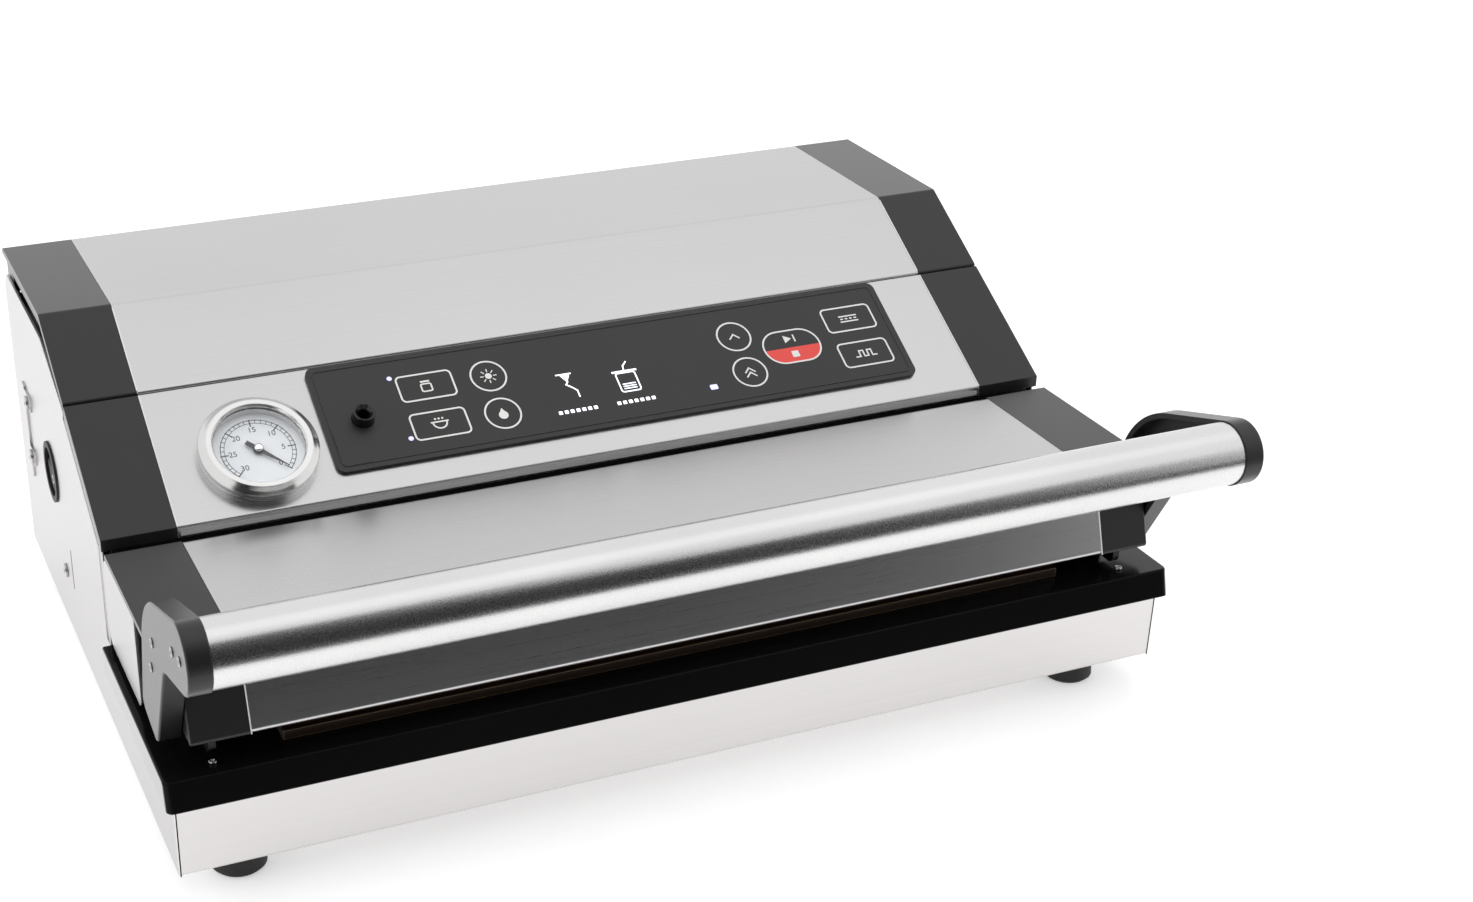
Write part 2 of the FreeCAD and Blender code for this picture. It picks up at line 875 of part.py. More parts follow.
def lid_end_cap():
    """Right end of the lid: top strip, front corner, stepped side wall and two bearing bosses."""
    path = lid_path()[1:3] + [(lid_rear_y, lid_top, lid_wall / 2)]
    band = bent_sheet(path, lid_wall, strip_inner, half)
    low = lid_front_bottom - lid_top
    notch = block(
        lid_narrow_half, half + sheet, low, lid_strip_step_y, lid_cap_side_bottom, lid_top + sheet
    )
    front_side = prism(
        [
            (0, lid_front_bottom, skin_bend / 2),
            (lid_lean, lid_top, skin_bend),
            (lid_step_y, lid_top),
            (lid_step_y, lid_front_bottom),
        ],
        lid_narrow_half - lid_wall, lid_narrow_half,
    )
    step_wall = block(
        lid_narrow_half - lid_wall, inner_half, lid_step_y, lid_step_y + lid_wall,
        lid_cap_side_bottom, lid_top - lid_wall / 2,
    )
    rear_side = block(
        inner_half - lid_wall, inner_half, lid_step_y, lid_rear_y - lid_wall,
        lid_cap_side_bottom, lid_top - lid_wall / 2,
    )
    bearing_x = hinge_bracket_x + hinge_bracket_wall + bearing_gap
    bearing_end = bearing_x + hinge_boss_length
    boss_front = lid_hinge_y - hinge_boss / 2
    boss_rear = lid_hinge_y + hinge_boss / 2
    inside_top = lid_top - lid_wall / 2
    bearing = rod_x(hinge_boss, bearing_x, bearing_end, lid_hinge_y, lid_hinge_z)
    hanger = block(bearing_x, bearing_end, boss_front, boss_rear, lid_hinge_z, inside_top)
    link_bottom = lid_hinge_z + 2 * lid_hinge_pin
    link_end = inner_half - lid_wall / 2
    link = block(bearing_end - lid_wall, link_end, boss_front, boss_rear, link_bottom, inside_top)
    pivot_hub = rod_x(pivot_boss, lid_narrow_half - pivot_boss_depth, lid_narrow_half, pivot_y, pivot_z)
    cap = band.cut(notch).fuse([front_side, step_wall, rear_side]).removeSplitter()
    corner_edges = [
        edge for edge in cap.Edges
        if edge.BoundBox.XMin > lid_narrow_half - seam and edge.BoundBox.XMax < lid_narrow_half + seam
        and edge.BoundBox.YMin < lid_step_y / 2
    ]
    cap = cap.makeFillet(lid_cap_edge, corner_edges).fuse([bearing, hanger, link, pivot_hub])
    bore_end = inner_half - lid_wall
    hinge_bore = rod_x(lid_hinge_pin + running_gap, strip_inner, bore_end, lid_hinge_y, lid_hinge_z)
    pivot_bore = rod_x(pivot_radius + running_gap, strip_inner, half, pivot_y, pivot_z)
    return cap.cut([hinge_bore, pivot_bore])


def lid_side_plates():
    """Steel plates on the wide rear sides of the lid."""
    plate = prism(
        [
            (lid_step_y + seam, lid_side_bottom, lid_plate_corner / 2),
            (lid_plate_rear_y, lid_side_bottom, lid_plate_corner),
            (lid_plate_rear_y, lid_top - lid_wall - seam, lid_plate_corner),
            (lid_step_y + seam, lid_top - lid_wall - seam, 0),
        ],
        half - lid_plate_thickness, half,
    )
    return both_sides(plate)


def lid_liner():
    """Underside of the lid, with the pad's holder and the gasket's groove."""
    section = lid_inner_section(skin + lid_wall + liner_side_gap)
    liner_half = skin_half - lid_wall - liner_side_gap
    front = section[0][0]
    rear = section[3][0]
    plate = block(-liner_half, liner_half, front, rear, liner_bottom, liner_bottom + liner_plate)
    holder = block(
        -bar_half_length - bar_channel_wall, bar_half_length + bar_channel_wall, bar_front, bar_rear,
        pad_top(), liner_bottom,
    )
    groove = ring(
        liner_gasket_half() + seam, gasket_front - seam, liner_gasket_rear() + seam, gasket_width + 2 * seam,
        gasket_corner + seam, liner_bottom - sheet, liner_bottom + liner_groove,
    )
    return plate.fuse(holder).cut(groove)


def liner_gasket_half():
    """Return half the length of the lid's gasket, which stays on the liner."""
    return min(gasket_half_length, skin_half - lid_wall - liner_side_gap - sheet)


def liner_gasket_rear():
    """Return Y of the rear edge of the lid's gasket, which stays on the liner."""
    return min(gasket_rear, lid_inner_section(skin + lid_wall + liner_side_gap)[3][0] - sheet)


def upper_gasket():
    """Foam ring in the liner's groove, facing the deck's ring."""
    return ring(
        liner_gasket_half(), gasket_front, liner_gasket_rear(), gasket_width, gasket_corner,
        gasket_meeting, liner_bottom + liner_groove,
    )


def pad_top():
    """Return Z where the pressure pad meets its holder."""
    return tape_top() + pad_bottom_gap + pad_height


def pressure_pad():
    """Silicone strip that presses the bag onto the seal bar."""
    low = pad_top() - pad_height
    return prism(
        [
            (bar_middle - pad_width / 2, pad_top()),
            (bar_middle - pad_width / 2, low, pad_width / 6),
            (bar_middle + pad_width / 2, low, pad_width / 6),
            (bar_middle + pad_width / 2, pad_top()),
        ],
        -bar_half_length, bar_half_length,
    )


# Handle

def handle_tube():
    """Round grip tube between the arms."""
    start = V(-tube_half_length, tube_axis_y, tube_axis_z)
    outside = rod(tube_radius, start, V(1, 0, 0), 2 * tube_half_length)
    bore = rod(tube_radius - tube_wall, start, V(1, 0, 0), 2 * tube_half_length)
    return outside.cut(bore)


def arm_points():
    """Side outline of an arm: nose round the tube, shoulder, heel, toe and crook."""
    top_pitch = math.radians(arm_top_pitch)
    under_pitch = math.radians(arm_under_pitch)
    front = tube_axis_y - arm_nose
    nose_round = arm_nose - seam
    upper = tube_axis_z + arm_nose / math.cos(top_pitch)
    lower = tube_axis_z - arm_nose / math.cos(under_pitch)
    return [
        (front, upper + arm_nose * math.tan(top_pitch), nose_round),
        (arm_shoulder_y, upper - (arm_shoulder_y - tube_axis_y) * math.tan(top_pitch), arm_shoulder_round),
        (arm_heel_y, arm_heel_z, arm_heel_round),
        (arm_toe_y, arm_toe_z, arm_toe_round),
        (arm_crook_y, lower - (arm_crook_y - tube_axis_y) * math.tan(under_pitch), arm_crook_round),
        (front, lower + arm_nose * math.tan(under_pitch), nose_round),
    ]


def handle_arm():
    """Right arm: smooth outside, hollow and ribbed inside, with a spigot for the tube."""
    face = outline(arm_points())
    face.translate(V(arm_inner, 0, 0))
    arm = face.extrude(V(arm_thickness, 0, 0))
    outer_edges = [edge for edge in arm.Edges if edge.BoundBox.XMin > arm_outer - seam]
    arm = arm.makeFillet(arm_edge, outer_edges)
    core = face.makeOffset2D(-arm_wall)
    hollow = core.extrude(V(arm_thickness - arm_face, 0, 0))
    tube_seat = rod(tube_radius, V(arm_inner, tube_axis_y, tube_axis_z), V(1, 0, 0), arm_thickness)
    pivot_seat = rod(pivot_boss, V(arm_inner, pivot_y, pivot_z), V(1, 0, 0), arm_thickness)
    span = V(0, pivot_y - tube_axis_y, pivot_z - tube_axis_z)
    web = Part.makeBox(arm_thickness, span.Length, arm_wall, V(arm_inner, 0, -arm_wall / 2))
    web.rotate(V(0, 0, 0), V(1, 0, 0), math.degrees(math.atan2(span.z, span.y)))
    web.translate(V(0, tube_axis_y, tube_axis_z))
    hollow = hollow.cut([tube_seat, pivot_seat, web])
    spigot = rod(
        tube_radius - tube_wall - spigot_gap, V(arm_inner - spigot_length, tube_axis_y, tube_axis_z),
        V(1, 0, 0), spigot_length + seam,
    )
    socket = rod(pivot_radius, V(arm_inner, pivot_y, pivot_z), V(1, 0, 0), arm_thickness - arm_face)
    return arm.cut(hollow).fuse(spigot).cut(socket)


def latch_hook_point(reach, turn):
    """Return (y, z) at a reach from the pivot and an angle, in degrees, from straight back."""
    angle = math.radians(turn)
    return pivot_y + reach * math.cos(angle), pivot_z + reach * math.sin(angle)


def handle_pivots():
    """Steel pivots from the arms through the lid's sides, each with its latch hook welded on."""
    shaft = rod(
        pivot_radius, V(hook_x, pivot_y, pivot_z), V(1, 0, 0), arm_outer - arm_face - hook_x
    )
    hub = rod(hook_hub, V(hook_x, pivot_y, pivot_z), V(1, 0, 0), hook_wall)
    throat = strike_radius + hook_gap
    seat_y, seat_z = latch_hook_point(hook_reach, hook_rest)
    bottom = pivot_z - hook_reach - throat - hook_jaw
    front = seat_y - throat - hook_shank
    plate = prism(
        [
            (pivot_y - hook_hub, pivot_z, 0),
            (front, seat_z + hook_reach / 3, hook_jaw),
            (front, bottom, hook_jaw),
            (seat_y + throat, bottom, hook_jaw / 2),
            (seat_y + throat, seat_z + throat + hook_jaw, 0),
            (pivot_y + hook_hub, pivot_z, 0),
        ],
        hook_x, hook_x + hook_wall,
    )
    cut_outer = rod(hook_reach + throat, V(hook_x, pivot_y, pivot_z), V(1, 0, 0), hook_wall)
    cut_inner = rod(hook_reach - throat, V(hook_x, pivot_y, pivot_z), V(1, 0, 0), hook_wall)
    path = cut_outer.cut(cut_inner)
    behind = block(hook_x, hook_x + hook_wall, seat_y, seat_y + hook_reach, bottom, pivot_z)
    seat = rod(throat, V(hook_x, seat_y, seat_z), V(1, 0, 0), hook_wall)
    plate = plate.cut([path.common(behind), seat])
    return both_sides(plate.fuse([hub, shaft]))


# Roll cover and roll bay

def cover_path():
    """Outer side path of the cover: fold at the joint, up the slope, along the roof, down the back."""
    bend = (roof_z - slope_foot_z) / math.sin(slope)
    return [
        slope_point(cover_start, -cover_front_fold) + (0,),
        slope_point(cover_start, 0) + (skin_bend / 2,),
        slope_point(bend, 0) + (skin_bend,),
        (cover_rear_y, roof_z, skin_bend),
        (cover_rear_y, cover_rear_bottom, 0),
    ]


def cover_skin():
    """Brushed sheet folded over the roll bay."""
    return bent_sheet(cover_path(), skin, -skin_half, skin_half)


def cover_liner():
    """Black moulding that stiffens the cover from inside."""
    return bent_sheet(offset_path(cover_path(), skin), cover_liner_wall, -skin_half, skin_half)


def cover_end_cap():
    """Right end of the cover: top strip, hidden skirt and the ear that turns on the panel's stud."""
    band = bent_sheet(cover_path(), strip_thickness, strip_inner, half)
    beside_panel = block(
        skirt_outer, half + sheet, slope_foot_y, body_depth, slope_foot_z, roof_z - strip_thickness
    )
    slope_side = prism(
        [slope_point(0, -strip_thickness), slope_point(0, skin_bend), slope_point(body_depth, skin_bend),
         slope_point(body_depth, -strip_thickness)],
        skirt_outer, half + sheet,
    )
    band = band.cut(beside_panel.cut(slope_side))
    skirt = bent_sheet(offset_path(cover_path()[1:4], strip_thickness), skirt_depth, skirt_inner, skirt_outer)
    ear_disc = rod_x(cover_ear, skirt_inner, skirt_outer, cover_hinge_y, cover_hinge_z)
    ear_block = block(
        skirt_inner, skirt_outer, cover_hinge_y - cover_ear, cover_hinge_y + cover_ear,
        cover_hinge_z, roof_z - strip_thickness,
    )
    bore = rod_x(cover_pin + running_gap, skirt_inner, skirt_outer, cover_hinge_y, cover_hinge_z)
    return band.fuse([skirt, ear_disc, ear_block]).cut(bore)


def roll_bay():
    """Moulded trough for the bag roll, hung from the chassis ledge and the rear panel."""
    def section(grow, top):
        low_y = bay_axis_y - bay_half_width - grow
        high_y = bay_axis_y + bay_half_width + grow
        lowest = bay_axis_z - bay_drop - grow
        front_line = Part.makeLine(V(0, low_y, top), V(0, low_y, bay_axis_z))
        curve = Part.Arc(
            V(0, low_y, bay_axis_z), V(0, bay_axis_y, lowest), V(0, high_y, bay_axis_z)
        ).toShape()
        rear_line = Part.makeLine(V(0, high_y, bay_axis_z), V(0, high_y, top))
        lid_line = Part.makeLine(V(0, high_y, top), V(0, low_y, top))
        return Part.Face(Part.Wire([front_line, curve, rear_line, lid_line]))

    outer = section(bay_wall, bay_top)
    outer.translate(V(-bay_half_length, 0, 0))
    trough = outer.extrude(V(2 * bay_half_length, 0, 0))
    inner_half_length = bay_half_length - bay_wall
    inner = section(0, bay_top + sheet)
    inner.translate(V(-inner_half_length, 0, 0))
    hollow = inner.extrude(V(2 * inner_half_length, 0, 0))
    under = -(ledge_drop + ledge_wall)
    flange_start = ledge_end - ledge_length / 2
    wall_y = bay_front + bay_wall / 2
    flange = prism(
        [
            slope_point(flange_start, under),
            (wall_y, slope_height_at(wall_y, under)),
            (wall_y, slope_height_at(wall_y, under - bay_wall)),
            slope_point(flange_start, under - bay_wall),
        ],
        -bay_rim_half, bay_rim_half,
    )
    rim_rear = body_depth - sheet - soft_gap
    rim = block(-bay_rim_half, bay_rim_half, bay_front, rim_rear, bay_top - bay_wall, bay_top)
    return trough.fuse([flange, rim]).cut(hollow).removeSplitter()


def bag_cutter():
    """Sliding cutter astride the rail on the ledge, parked at the left end."""
    rail_middle = ledge_end - cutter_rail_inset
    base = -ledge_drop + cutter_gap
    top = base + cutter_height
    x0 = -cutter_travel / 2 - cutter_length / 2
    x1 = x0 + cutter_length
    front = rail_middle - cutter_width / 2
    rear = rail_middle + cutter_width / 2
    body = rounded_block(x0, x1, front, rear, base, top, cutter_knob)
    knob = block(
        x0 + cutter_length / 4, x1 - cutter_length / 4, front + cutter_width / 4, rear - cutter_width / 4,
        top, top + cutter_knob / 2,
    )
    groove_half = cutter_rail_width / 2 + cutter_gap
    groove_top = -ledge_drop + cutter_rail_height + cutter_gap
    groove = block(
        x0 - seam, x1 + seam, rail_middle - groove_half, rail_middle + groove_half, base - seam, groove_top
    )
    return on_slope(body.fuse(knob).cut(groove))


# Control face

def control_window(gap):
    """Cutter for the opening under the control plate, grown by a gap."""
    bottom = fascia_length - plate_top_margin - plate_height
    return rounded_block(
        plate_left + plate_rim - gap, plate_right - plate_rim + gap,
        bottom + plate_rim - gap, bottom + plate_height - plate_rim + gap,
        -chassis_plate * 2, skin, plate_corner / 2,
    )


def gauge_axis():
    """Return the gauge's centre in the flat frame of the slope."""
    return V(gauge_x, fascia_length - gauge_drop, 0)


def inner_chassis():
    """Black moulding that carries the control face, closes its front and holds the cutter's rail."""
    wall_front = slope_foot_y + panel_front_edge
    wall_rear = wall_front + chassis_wall
    solids = []
    for x0, x1, top in (
        (-skin_half, skin_half, skin),
        (skin_half, chassis_half, strip_thickness),
        (-chassis_half, -skin_half, strip_thickness),
    ):
        low = -(top + chassis_plate) if top == skin else -(top + chassis_wall)
        upper_end = fascia_length - chassis_top_end
        solids.append(prism(
            [
                (wall_front, slope_height_at(wall_front, -top)), slope_point(upper_end, -top),
                slope_point(upper_end, -ledge_drop), slope_point(ledge_end, -ledge_drop),
                slope_point(ledge_end, -ledge_drop - ledge_wall),
                slope_point(upper_end - ledge_wall, -ledge_drop - ledge_wall),
                slope_point(upper_end - ledge_wall, low),
                (wall_rear, slope_height_at(wall_rear, low)), (wall_rear, deck_top), (wall_front, deck_top),
            ],
            x0, x1,
        ))
    chassis = solids[0].fuse(solids[1:]).removeSplitter()
    rail_middle = ledge_end - cutter_rail_inset
    rail_half = cutter_travel / 2 + cutter_length
    rail = on_slope(block(
        -rail_half, rail_half, rail_middle - cutter_rail_width / 2, rail_middle + cutter_rail_width / 2,
        -ledge_drop - seam, -ledge_drop + cutter_rail_height,
    ))
    gauge_hole = on_slope(rod(
        gauge_case_radius + gauge_hole_gap, gauge_axis() - V(0, 0, ledge_drop), V(0, 0, 1), 2 * ledge_drop
    ))
    return chassis.fuse(rail).cut([on_slope(control_window(plate_seat_gap)), gauge_hole])


def fascia_panel():
    """Brushed sheet of the control face, folded at its foot and at the cover joint."""
    path = [
        (slope_foot_y, slope_foot_z - front_lip, 0),
        (slope_foot_y, slope_foot_z, skin_bend / 2),
        slope_point(fascia_length, 0) + (0,),
    ]
    panel = bent_sheet(path, skin, -skin_half, skin_half)
    gauge_hole = on_slope(rod(
        gauge_case_radius + gauge_hole_gap, gauge_axis() - V(0, 0, 2 * skin), V(0, 0, 1), 4 * skin
    ))
    return panel.cut([on_slope(control_window(plate_seat_gap)), gauge_hole])


def fascia_end():
    """Right black strip of the control face, with its front lip and the skirt inside the panel."""
    band = prism(
        [
            (slope_foot_y, slope_foot_z), slope_point(fascia_length, 0),
            slope_point(fascia_length, -strip_thickness),
            (slope_foot_y, slope_height_at(slope_foot_y, -strip_thickness)),
        ],
        strip_inner, half,
    )
    lip = block(
        strip_inner, half, slope_foot_y, slope_foot_y + strip_lip_thickness,
        slope_foot_z - front_lip, slope_foot_z - strip_thickness / 2,
    )
    wall_rear = slope_foot_y + panel_front_edge + chassis_wall
    skirt = prism(
        [
            (wall_rear, slope_height_at(wall_rear, -strip_thickness / 2)),
            slope_point(fascia_length, -strip_thickness / 2),
            slope_point(fascia_length, -strip_thickness - skirt_depth),
            (wall_rear, slope_height_at(wall_rear, -strip_thickness - skirt_depth)),
        ],
        skirt_inner, skirt_outer,
    )
    return band.fuse([lip, skirt]).removeSplitter()


def key_plan(kind, gap, low, high):
    """Return one key's upright solid about the origin, grown by a gap."""
    if kind == "round":
        return rod(key_round + gap, V(0, 0, low), V(0, 0, 1), high - low)
    sizes = {
        "square": (key_width, key_height, key_corner),
        "capsule": (key_capsule_width, key_capsule_height, key_capsule_height / 2 - seam),
    }
    width, height, corner = sizes[kind]
    return rounded_block(
        -width / 2 - gap, width / 2 + gap, -height / 2 - gap, height / 2 + gap, low, high, corner + gap
    )


def key_places():
    """Return each key's name, kind and centre in the flat frame of the slope."""
    rows = (
        ("canister_key", "square", key_left_x, key_row_upper),
        ("marinate_key", "square", key_left_x, key_row_lower),
        ("dry_key", "round", key_left_round_x, key_row_upper),
        ("moist_key", "round", key_left_round_x, key_row_lower),
        ("gentle_key", "round", key_right_round_x, key_row_upper),
        ("normal_key", "round", key_right_round_x, key_row_lower),
        ("start_key", "capsule", key_capsule_x, key_row_middle),
        ("seal_key", "square", key_right_x, key_row_upper),
        ("pulse_key", "square", key_right_x, key_row_lower),
    )
    return [(name, kind, V(x, fascia_length - drop, 0)) for name, kind, x, drop in rows]


def control_plate():
    """Black plate over the fascia's opening, with a pocket for each key and posts for the board."""
    bottom = fascia_length - plate_top_margin - plate_height
    plate = rounded_block(
        plate_left, plate_right, bottom, bottom + plate_height, 0, plate_thickness, plate_corner
    )
    seat_bottom = bottom + plate_rim
    seat_top = bottom + plate_height - plate_rim
    seat = rounded_block(
        plate_left + plate_rim, plate_right - plate_rim, seat_bottom, seat_top,
        -plate_seat, 0, plate_corner / 2,
    )
    posts = [
        rod(board_post, V(x, y, -board_depth), V(0, 0, 1), board_depth)
        for x in (board_left + board_post, board_right - board_post)
        for y in (seat_bottom + board_margin, seat_top - board_margin)
    ]
    pockets = []
    for name, kind, centre in key_places():
        pocket = key_plan(kind, key_gap, -plate_seat - seam, plate_thickness + seam)
        pocket.translate(centre)
        pockets.append(pocket)
    port_hole = rod(
        port_radius + port_gap, V(port_x, fascia_length - port_drop, -plate_seat - seam), V(0, 0, 1),
        plate_seat + plate_thickness + 2 * seam,
    )
    return on_slope(plate.fuse([seat] + posts).cut(pockets + [port_hole]))


def key(kind, centre):
    """One key: a flat cap flush with the plate, and the stem above its switch."""
    cap = key_plan(kind, 0, plate_thickness - key_depth, plate_thickness)
    stem_top = plate_thickness - key_depth
    stem = rod(key_stem, V(0, 0, stem_top - key_stem_length), V(0, 0, 1), key_stem_length)
    solid = cap.fuse(stem)
    solid.translate(centre)
    return on_slope(solid)


def control_board():
    """Circuit board on the plate's posts, with a push switch under each key."""
    bottom = fascia_length - plate_top_margin - plate_height
    top = -board_depth
    board_top = bottom + plate_height - plate_rim
    board = block(board_left, board_right, bottom + plate_rim, board_top, top - board_thickness, top)
    stem_end = plate_thickness - key_depth - key_stem_length
    solids = [board]
    for name, kind, centre in key_places():
        case = block(
            centre.x - switch_side / 2, centre.x + switch_side / 2,
            centre.y - switch_side / 2, centre.y + switch_side / 2, top, top + switch_height,
        )
        plunger = rod(
            switch_plunger, V(centre.x, centre.y, top), V(0, 0, 1), stem_end - key_travel - seam - top
        )
        solids += [case, plunger]
    return on_slope(solids[0].fuse(solids[1:]).removeSplitter())


def accessory_port():
    """Hose socket through the control plate: collar with a flared mouth, bore and inner barb."""
    base = -plate_seat
    top = plate_thickness + port_height
    profile = [
        (port_bore, -port_barb_length),
        (port_barb, -port_barb_length),
        (port_barb, base),
        (port_radius, base),
        (port_radius, top - port_edge),
        (port_radius - port_edge, top),
        (port_mouth, top),
        (port_bore, top - port_flare),
    ]
    return on_slope(revolve(profile, V(port_x, fascia_length - port_drop, 0)))


# Dial gauge

def gauge_case():
    """Cup behind the fascia with a rim on it and a threaded stem's blank behind."""
    floor = -gauge_case_depth
    inner = gauge_case_radius - gauge_case_wall
    profile = [
        (0, floor - gauge_stem_length),
        (gauge_stem, floor - gauge_stem_length),
        (gauge_stem, floor),
        (gauge_case_radius, floor),
        (gauge_case_radius, 0),
        (gauge_bezel_radius - gauge_case_wall, 0),
        (gauge_bezel_radius - gauge_case_wall, gauge_case_wall),
        (inner, gauge_case_wall),
        (inner, floor + gauge_case_wall),
        (0, floor + gauge_case_wall),
    ]
    return on_slope(revolve(profile, gauge_axis()))


def gauge_bezel():
    """Chromed ring, grooved round its side and stepped at its top, that holds the lens."""
    lens_top = gauge_height - gauge_lens_drop
    lens_bottom = lens_top - gauge_lens_thickness
    seat = gauge_window + gauge_lens_seat
    outer = gauge_bezel_radius
    step = outer - gauge_window
    profile = [
        (outer - gauge_case_wall, 0),
        (outer, 0),
        (outer, gauge_flange),
        (outer - gauge_groove, gauge_flange),
        (outer - gauge_groove, gauge_flange + gauge_groove),
        (outer, gauge_flange + gauge_groove),
        (outer, gauge_height * 2 / 3),
        (outer - step / 4, gauge_height - gauge_lens_drop),
        (outer - step / 2, gauge_height),
        (gauge_window + step / 8, gauge_height),
        (gauge_window, lens_top),
        (seat, lens_top),
        (seat, lens_bottom),
        (gauge_window, lens_bottom),
        (gauge_window, gauge_case_wall),
        (outer - gauge_case_wall, gauge_case_wall),
    ]
    return on_slope(revolve(profile, gauge_axis()))


def gauge_lens():
    """Clear disc in the bezel's groove."""
    lens_top = gauge_height - gauge_lens_drop
    centre = gauge_axis() + V(0, 0, lens_top)
    return on_slope(rod(gauge_window + gauge_lens_seat, centre, V(0, 0, -1), gauge_lens_thickness))


def gauge_dial():
    """White scale plate inside the bezel, on the rim of the case, with a hole for the pointer's shaft."""
    rim = gauge_case_wall
    low = min(gauge_dial_height - gauge_dial_thickness, rim - seam)
    disc = rod(gauge_case_radius - rim, gauge_axis() + V(0, 0, low), V(0, 0, 1), rim - low)
    face = rod(gauge_window, gauge_axis() + V(0, 0, rim), V(0, 0, 1), gauge_dial_height - rim)
    hole = rod(needle_shaft + running_gap, gauge_axis(), V(0, 0, 1), gauge_height)
    return on_slope(disc.fuse(face).removeSplitter().cut(hole))


def gauge_needle():
    """Pointer with its hub, tail and the shaft that turns in the dial."""
    half_width = needle_width / 2
    corners = [
        V(needle_length, 0, 0),
        V(0, half_width, 0),
        V(-needle_tail, half_width, 0),
        V(-needle_tail, -half_width, 0),
        V(0, -half_width, 0),
    ]
    pointer = Part.Face(Part.makePolygon(corners + corners[:1])).extrude(V(0, 0, needle_thickness))
    hub = rod(needle_hub, V(0, 0, -needle_thickness / 2), V(0, 0, 1), 2 * needle_thickness)
    shaft_length = needle_height + gauge_case_wall
    shaft = rod(needle_shaft, V(0, 0, 0), V(0, 0, -1), shaft_length)
    needle = pointer.fuse([hub, shaft])
    needle.rotate(V(0, 0, 0), V(0, 0, 1), needle_rest)
    needle.translate(gauge_axis() + V(0, 0, needle_height))
    return on_slope(needle)


# Inner works

def vacuum_pump():
    """Piston pump on the pan: crankcase and two finned cylinder heads."""
    right = pump_left + pump_length
    rear = pump_front + pump_width
    top = sheet + pump_height
    case = rounded_block(pump_left, right, pump_front, rear, sheet, top, pump_fin_reach)
    radius = min(pump_head, pump_length / 4 - pump_fin_reach)
    pitch = pump_head_height / (pump_fins + 1)
    heads = []
    for x in (pump_left + pump_length / 4, right - pump_length / 4):
        middle = V(x, (pump_front + rear) / 2, top)
        heads.append(rod(radius, middle, V(0, 0, 1), pump_head_height))
        for i in range(pump_fins):
            fin = middle + V(0, 0, pitch * (i + 1))
            heads.append(rod(radius + pump_fin_reach / 2, fin, V(0, 0, 1), pitch / 2))
    inlet_start = V(pump_middle(), pump_front - hose_grip, hose_level())
    inlet = rod(nipple_radius, inlet_start, V(0, 1, 0), hose_grip + sheet)
    return case.fuse(heads + [inlet]).removeSplitter()


def hose_level():
    """Return Z of the suction line."""
    return (tub_floor + deck_top - deck_plate) / 2


def pump_motor():
    """Motor beside the crankcase, in a saddle on the pan."""
    y = pump_front + pump_width / 2
    can = rod(motor_radius, V(pump_left, y, motor_axis_z), V(-1, 0, 0), motor_length)
    tail = rod(motor_radius / 3, V(pump_left - motor_length, y, motor_axis_z), V(-1, 0, 0), motor_radius / 4)
    middle = pump_left - motor_length / 2
    saddle = block(
        middle - motor_length / 4, middle + motor_length / 4, y - motor_saddle / 2, y + motor_saddle / 2,
        sheet, motor_axis_z,
    )
    return can.fuse([tail, saddle]).removeSplitter()


def release_valve():
    """Solenoid valve that lets air back into the channel."""
    right = valve_left + valve_width
    rear = valve_front + valve_length
    body = block(valve_left, right, valve_front, rear, sheet, sheet + valve_height)
    middle = V((valve_left + right) / 2, valve_front, sheet + valve_height / 2)
    coil = rod(valve_coil, middle, V(0, -1, 0), valve_coil)
    spout = rod(nipple_radius, middle + V(0, valve_length, 0), V(0, 1, 0), nipple_length)
    return body.fuse([coil, spout])


def vacuum_hose():
    """Soft suction hose from the tub's nipple to the pump."""
    start = tub_rear + tub_wall + nipple_length - hose_grip
    end = pump_front - seam
    line = V(pump_middle(), start, hose_level())
    tube = rod(hose_radius, line, V(0, 1, 0), end - start)
    return tube.cut(rod(nipple_radius, line, V(0, 1, 0), end - start))


def transformer():
    """Laminated mains transformer: core with a wound bobbin through it."""
    x1 = transformer_left + transformer_width
    y1 = transformer_front + transformer_length
    top = sheet + transformer_height
    core_front = transformer_front + transformer_coil
    core_rear = y1 - transformer_coil
    core = block(transformer_left, x1, core_front, core_rear, sheet, top)
    coil = rounded_block(
        transformer_left + transformer_window, x1 - transformer_window, transformer_front, y1,
        sheet + transformer_coil, top - transformer_coil, transformer_coil / 2,
    )
    return core.fuse(coil).removeSplitter()


# Mains inlet and switch

def power_inlet():
    """Recessed mains socket in the rear panel, with its three blades."""
    x0 = inlet_x - inlet_width / 2
    x1 = inlet_x + inlet_width / 2
    z0 = inlet_z - inlet_height / 2
    z1 = inlet_z + inlet_height / 2
    outside = body_depth + inlet_flange_thickness
    shell = block(x0, x1, outside - inlet_depth, outside, z0, z1)
    flange = rounded_block(
        x0 - inlet_flange, x1 + inlet_flange, z0 - inlet_flange, z1 + inlet_flange,
        -outside, -body_depth, inlet_flange / 2,
    )
    flange.rotate(V(0, 0, 0), V(1, 0, 0), 90)
    flange = flange.common(block(x0 - half, x1 + half, body_depth, outside, z0 - half, z1 + half))
    floor = outside - inlet_depth + inlet_wall
    recess = block(x0 + inlet_wall, x1 - inlet_wall, floor, outside + sheet, z0 + inlet_wall, z1 - inlet_wall)
    blades = []
    for column, row in ((-1, -1), (0, 1), (1, -1)):
        x = inlet_x + column * inlet_pin_pitch
        z = inlet_z + row * inlet_pin_rise / 2
        blades.append(block(
            x - inlet_pin_thickness / 2, x + inlet_pin_thickness / 2, floor - seam, floor + inlet_pin_length,
            z - inlet_pin_width / 2, z + inlet_pin_width / 2,
        ))
    return shell.fuse(flange).cut(recess).fuse(blades)


